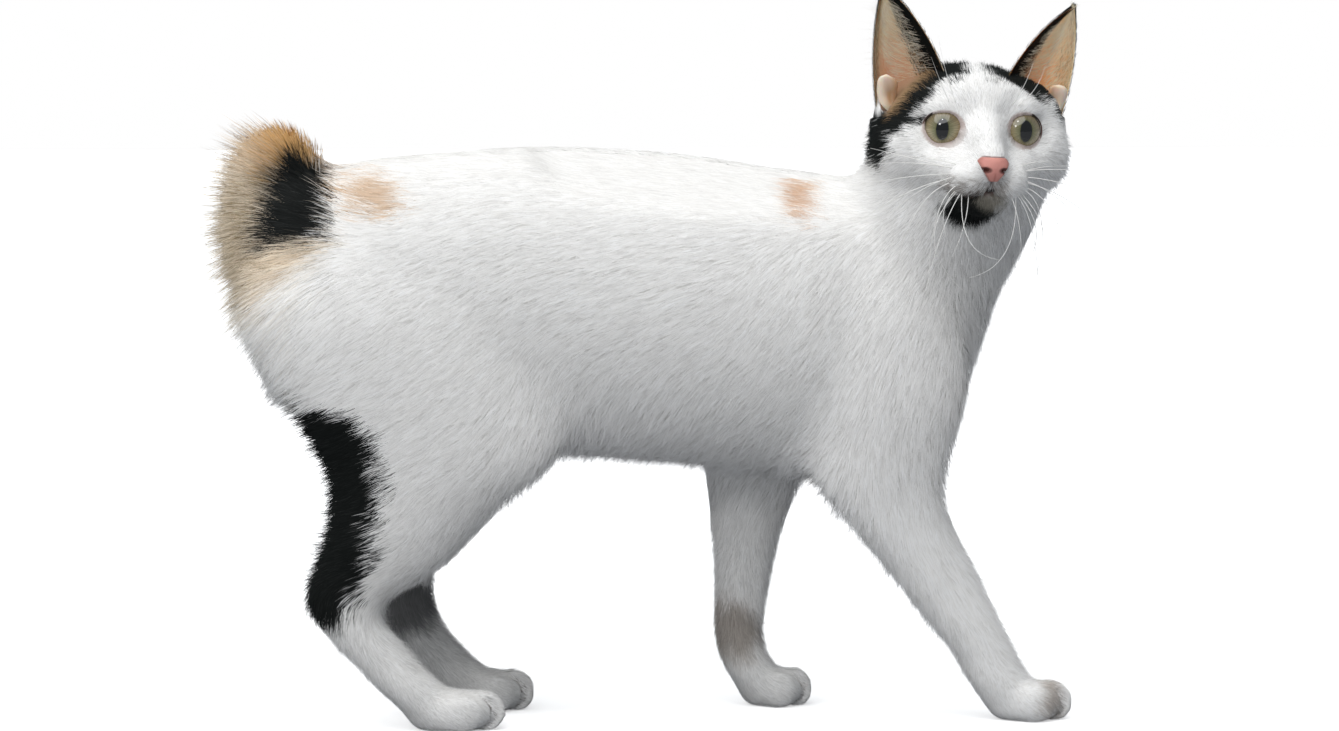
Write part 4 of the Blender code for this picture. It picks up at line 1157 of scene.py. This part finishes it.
    # The small pouch of skin at the foot of the outer edge, 18 mm tall, 11 mm wide and 5 mm thick,
    # is a tube bulged into an egg, flattened and dented on its front, where it is tan.
    heart = np.array((-29.0, mirror * 42.0, 14.5))
    share = np.linspace(-1, 1, 22)
    radii = 5.4 * np.sqrt(np.clip(1 - share**2, 0.002, 1)) * (1 + 0.3 * share)
    points, faces = tube(np.stack([0 * share, 0 * share, 9.0 * share], 1), radii, 24, (1, 0, 0))
    dent = np.exp(-(((points[:, 1] + mirror * 1.2) / 2.8) ** 2) - ((points[:, 2] + 1.5) / 6.5) ** 2)
    dent *= points[:, 0] > 0
    colour = np.tile(rgb("#ecdcc9"), (len(points), 1))
    tint(colour, "#c1956a", np.maximum(dent, 0.8 * soft(0.5, -3.5, mirror * points[:, 1])))
    points[:, 0] = 0.5 * points[:, 0] - 1.6 * dent + 0.03 * points[:, 2] ** 2
    points[:, 1] += mirror * 0.12 * points[:, 2]
    points += 0.5 * np.stack([ripple(points, 9, seed) for seed in (41, 42, 43)], 1)
    pouch = piece(f"ear_{side_name}_fold", from_head(points + heart), outwards(points, faces))
    paint(pouch, colour, ear_skin)
    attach(pouch, "root")

# The eyes: globes 22 mm across with a tall pupil in an olive iris ringed by a darker edge, each a
# ball that bulges at the front. Each gaze is turned away from the nose by the angle in degrees that
# puts the pupil where the photograph shows it.
GAZE = {1: 6.0, -1: 19.0}
RINGS, AROUND = 90, 144
RIM_SPANS, RIM_SIDES = 96, 10
eye_gloss = painted("wet eye", 0.04, {"Specular IOR Level": 0.6, "Coat Weight": 0.6, "Coat Roughness": 0.02})


def gaze_axes(side, turn):
    """Rows: along the gaze, away from the nose and up, in the head's axes."""
    ahead = (math.cos(turn), side * math.sin(turn), 0)
    return np.array((ahead, (-math.sin(turn), side * math.cos(turn), 0), (0, 0, 1)))


for side, name in ((1, "left"), (-1, "right")):
    angle = np.linspace(0, math.pi, RINGS) ** 1.35 / math.pi**0.35
    spin = np.linspace(0, 2 * math.pi, AROUND, endpoint=False)
    tilt, roll = np.meshgrid(angle[1:-1], spin, indexing="ij")
    radius = GLOBE_RADIUS + 0.55 * np.exp(-((tilt / 0.62) ** 4))
    local = np.stack([np.cos(tilt), np.sin(tilt) * np.cos(roll), np.sin(tilt) * np.sin(roll)], -1)
    poles = np.array(((GLOBE_RADIUS + 0.55, 0, 0), (-GLOBE_RADIUS, 0, 0)))
    local = np.concatenate([(local * radius[..., None]).reshape(-1, 3), poles])
    points = from_head(local @ gaze_axes(side, math.radians(GAZE[side])) + np.array(GLOBES[side]))

    behind, across, rise = local[:, 0] < 0, local[:, 1], local[:, 2]
    from_axis = np.hypot(across, rise)
    polar = np.arcsin(np.clip(from_axis / 11.6, 0, 1))
    polar = np.where(behind, math.pi - polar, polar)
    from_axis = np.where(behind, 2 * GLOBE_RADIUS - from_axis, from_axis)
    bearing = np.arctan2(rise, across)
    streak = 0.5 + 0.5 * np.sin(bearing * 37 + 2 * np.sin(bearing * 5)) * np.sin(bearing * 61 + 1.3)
    streak = 0.6 * streak + 0.4 * (0.5 + 0.5 * np.sin(bearing * 97 + from_axis * 1.4))
    pupil = np.hypot(across / 3.0, rise / 5.2)
    opening = in_eye(points, side)
    edge = np.where(opening[:, 0] > 0, almond(opening, side), 2)
    colour = np.tile(rgb("#aca17b"), (len(local), 1))
    tint(colour, "#777a58", 0.75 * soft(6.8, 3.6, from_axis))
    # Darker towards the top: painted shadow of the upper lid.
    tint(colour, "#56513e", 0.75 * soft(-2.0, 6.5, rise))
    tint(colour, "#97794c", 0.4 * soft(5.5, 8.5, from_axis))
    colour *= (0.54 + 0.58 * streak)[:, None]
    tint(colour, "#4a4430", 0.85 * soft(8.0, 9.6, from_axis))
    tint(colour, "#c9bba8", soft(9.9, 10.4, from_axis))
    tint(colour, "#55552f", 0.7 * soft(1.35, 1.0, pupil))
    tint(colour, "#050505", soft(1.06, 0.97, pupil))
    # Darker just inside the opening's outline: painted shadow of the lids, which also stands for the dark
    # limbus there.
    tint(colour, "#2f2b20", 0.85 * soft(0.78, 1.04, edge))
    faces = closed_faces(RINGS - 2, AROUND)
    eye = piece(f"eye_{name}_globe", points, faces if side > 0 else faces[:, ::-1])
    paint(eye, colour, eye_gloss)
    bake_map(eye, np.stack([np.cos(bearing), np.sin(bearing)], 1) * (polar / math.pi * 0.49)[:, None] + 0.5)
    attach(eye, "root")
    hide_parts(f"eye_{name}")

    # The rim of the lids: a moist, dark ring round the opening, under 1 mm thick, as a closed tube.
    spin = np.linspace(0, 2 * math.pi, RIM_SPANS + 1)
    drawn = np.clip(-np.cos(spin), 0, 1) ** 3
    rim_across = 1.045 * (OPENING_WIDE[side] * np.cos(spin) - 1.5 * drawn)
    rim_rise = 1.045 * (OPENING_HIGH * np.sin(spin) - 2.4 * drawn)
    out = np.sqrt(np.clip((GLOBE_RADIUS + 0.45) ** 2 - rim_across**2 - rim_rise**2, 1, None))
    line = from_eye(np.stack([out, rim_across, rim_rise], 1), side)
    outward = unit(line - EYES[side][:3, 3])
    way = unit(np.roll(line, -1, 0) - np.roll(line, 1, 0))
    way[0] = way[-1] = unit(line[1] - line[-2])
    flank = np.cross(way, outward)
    section = np.linspace(0, 2 * math.pi, RIM_SIDES, endpoint=False)
    ring = outward[:, None] * np.cos(section)[:, None] + flank[:, None] * np.sin(section)[:, None]
    points = (line[:, None] + (0.34 + 0.10 * np.sin(spin))[:, None, None] * ring)[:-1].reshape(-1, 3)
    quads = grid_quads(RIM_SPANS + 1, RIM_SIDES, True) % len(points)
    lid_rim = piece(f"eye_{name}_rim", points, quads[:, ::-1] if side > 0 else quads)
    colour = np.tile(rgb("#5e423b"), (RIM_SPANS, 1))
    tint(colour, "#2f2320", soft(-0.2, 0.8, np.sin(spin[:-1])))
    paint(lid_rim, np.repeat(colour, RIM_SIDES, 0), painted(f"moist {name} lid rim", 0.35))
    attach(lid_rim, "root")

# The nose: a bare, finely pebbled salmon pad with a comma-shaped nostril at each side and a groove
# down its middle. It is the CAD solid, remeshed finer and relaxed, and painted.
nose_data = fused(*merged("nose"), 0.3, relaxed=6)
nose = shown("nose_pad", nose_data)
local = in_head(coordinates(nose_data))
aside, above = np.abs(local[:, 1]), local[:, 2] + 18.6
rim = soft(0.0, 2.4, aside - np.interp(above, (-6, -0.6, 3.4, 5.4), (1.0, 4.0, 5.6, 4.2)))
colour = np.tile(rgb("#d48f84"), (len(local), 1))
tint(colour, "#a8665a", 0.7 * rim)
tint(colour, "#e39c8d", 0.5 * soft(2, 5, above) * soft(4, 1, aside))
# Painted shade: the nostrils are painted dark brown, and the groove below the middle a darker line.
tint(colour, "#5a2f27", 0.85 * soft(1.25, 0.8, np.hypot((aside - 4.7) / 2.9, (above + 0.7) / 1.5)))
tint(colour, "#b05f55", 0.6 * np.exp(-((aside / 0.45) ** 2)) * soft(-1.0, -3.0, above))
paint(nose, colour, painted("nose leather", 0.42, {"Specular IOR Level": 0.5}, bump=(2600, 0.0004)))
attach(nose, "root")
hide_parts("nose")

# The whiskers: white bristles, thickest at the root, from four rows on each pad and over each eye.
# Each is a thin tube that curves from its root past a middle point to its tip, as (forward, left, up).
WHISKERS = (
    ((16, 13, -20), (16, 34, -15), (4, 62, -19)),
    ((15, 14.5, -22), (16, 38, -22), (6, 72, -30)),
    ((14, 15.5, -24), (16, 40, -28), (8, 68, -46)),
    ((17, 14, -23), (22, 36, -24), (12, 58, -52)),
    ((16, 15.5, -25.5), (20, 38, -30), (12, 44, -68)),
    ((18, 13, -26), (24, 34, -32), (15, 30, -76)),
    ((17, 14, -29), (26, 40, -54), (14, 4, -80)),
    ((18, 13, -28), (28, 16, -62), (22, -8, -62)),
    ((18, 12.5, -29), (24, 26, -44), (18, 26, -86)),
    ((17, 14, -28), (22, 32, -44), (12, 20, -66)),
    ((18, 10, -28.5), (26, 14, -44), (24, 10, -58)),
    ((13, 16, -20), (8, 30, -16), (-6, 52, -17)),
    ((17, 12, -18.5), (14, 28, -12), (4, 48, -12)),
    ((-2, 14, 12), (8, 18, 24), (4, 21, 38)),
    ((-3, 17, 12), (6, 24, 22), (0, 29, 34)),
)
dice = np.random.default_rng(5)
parts = []
for side in (1, -1):
    for root, middle, tip in np.array(WHISKERS, float):
        middle = middle + dice.normal(size=3) * 2.0
        tip = tip + dice.normal(size=3) * 4.5
        t = np.linspace(0, 1, 22)[:, None]
        line = root * (1 - t) ** 2 + 2 * middle * t * (1 - t) + tip * t**2
        thick = 0.27 if root[2] < 0 else 0.18
        parts.append(tube(from_head(line * (1, side, 1)), thick * (1 - 0.72 * t[:, 0]), 4, (0.3, 0.5, 0.8)))
points, faces = joined(parts)
whiskers = piece("whiskers", points, faces)
paint(whiskers, np.tile(rgb("#f6f4f0"), (len(points), 1)), painted("whisker bristle", 0.4))
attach(whiskers, "root")

# The studio: a white floor that runs out into a white room, a broad soft light overhead, a wide
# weak one from the front, and two small soft lights, by the camera and above the head, that draw
# the highlights in the eyes. The floor looks white to the camera but throws less light back up.
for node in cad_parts.values():
    node.hide_render = True
corners = np.array(((-9e3, -4e3, 0), (9e3, -4e3, 0), (9e3, 12e3, 0), (-9e3, 12e3, 0)))
floor = piece("floor", corners - SHIFT * (0, 0, 1), [[0, 1, 2, 3]])
white = bpy.data.materials.new("white studio floor")
white.use_nodes = True
tree = white.node_tree
shader = tree.nodes["Principled BSDF"]
shader.inputs["Roughness"].default_value = 0.9
shader.inputs["Emission Color"].default_value = (1, 1, 1, 1)
seen = add(tree, "ShaderNodeLightPath").outputs["Is Camera Ray"]
tones = {"data_type": "RGBA", 6: (0.34, 0.35, 0.37, 1), 7: (0.95, 0.95, 0.95, 1)}
tone = add(tree, "ShaderNodeMix", tones, {0: seen})
tree.links.new(tone.outputs[2], shader.inputs["Base Color"])
lift = add(tree, "ShaderNodeMath", {"operation": "MULTIPLY", 1: 0.5}, {0: seen})
tree.links.new(lift.outputs[0], shader.inputs["Emission Strength"])
floor.data.materials.append(white)


def lamp(kind, name, strength, colour=(1, 1, 1)):
    """A light of a kind, and the object that carries it."""
    light = bpy.data.lights.new(name, kind)
    light.energy = strength
    light.color = colour
    made = bpy.data.objects.new(name, light)
    bpy.context.scene.collection.objects.link(made)
    return light, made


def softbox(name, at, aim, size, watts):
    """A square area light at a place, turned to a point, both in the cat's millimetres."""
    light, made = lamp("AREA", name, watts)
    light.size = size
    made.location, aim = (Vector((np.array(p) + SHIFT) * 0.001) for p in (at, aim))
    made.rotation_euler = (aim - made.location).to_track_quat("-Z", "Y").to_euler()


sky, overhead = lamp("SUN", "overhead", 2.5)
sky.angle = math.radians(75)
overhead.rotation_euler = (math.radians(17), math.radians(-16), 0)
fill, front = lamp("SUN", "wide fill", 0.36)
fill.angle = math.radians(60)
front.rotation_euler = (math.radians(80), 0, math.radians(-12))
front.visible_glossy = False
softbox("by the camera", (-1000, -1600, 1300), (60, 0, 200), 0.35, 4)
softbox("above the head", (-330, -950, 1900), (147, -50, 290), 0.14, 2.5)
world = bpy.data.worlds.new("white room")
bpy.context.scene.world = world
world.use_nodes = True
tree = world.node_tree
background = tree.nodes["Background"]
background.inputs["Color"].default_value = (0.86, 0.93, 1.0, 1)
background.inputs["Strength"].default_value = 0.27
seen = add(tree, "ShaderNodeLightPath").outputs["Is Camera Ray"]
backdrop = add(tree, "ShaderNodeBackground", {"Color": (1, 1, 1, 1), "Strength": 1.0})
room = {0: seen, 1: background.outputs[0], 2: backdrop.outputs[0]}
mixed = add(tree, "ShaderNodeMixShader", links=room)
tree.links.new(mixed.outputs[0], tree.nodes["World Output"].inputs["Surface"])

# The camera stands 2.2 m off and 330 mm up, 5 degrees ahead of square. Its focal length is 4490
# pixels of the photograph, whose horizon lies 320.5 pixels above the middle.
AZIMUTH = math.radians(-5)
PITCH = math.atan(320.5 / 4490)
lens = bpy.data.cameras.new("camera")
lens.lens = 120.717
lens.sensor_width = 36
lens.clip_end = 50
camera = bpy.data.objects.new("camera", lens)
bpy.context.scene.collection.objects.link(camera)
bpy.context.scene.camera = camera
stand = np.array((2200 * math.sin(AZIMUTH), -2200 * math.cos(AZIMUTH), 330))
camera.location = Vector((stand + SHIFT) * 0.001)
camera.rotation_euler = (math.pi / 2 - PITCH, 0, AZIMUTH)
bpy.context.scene.view_settings.view_transform = "Standard"
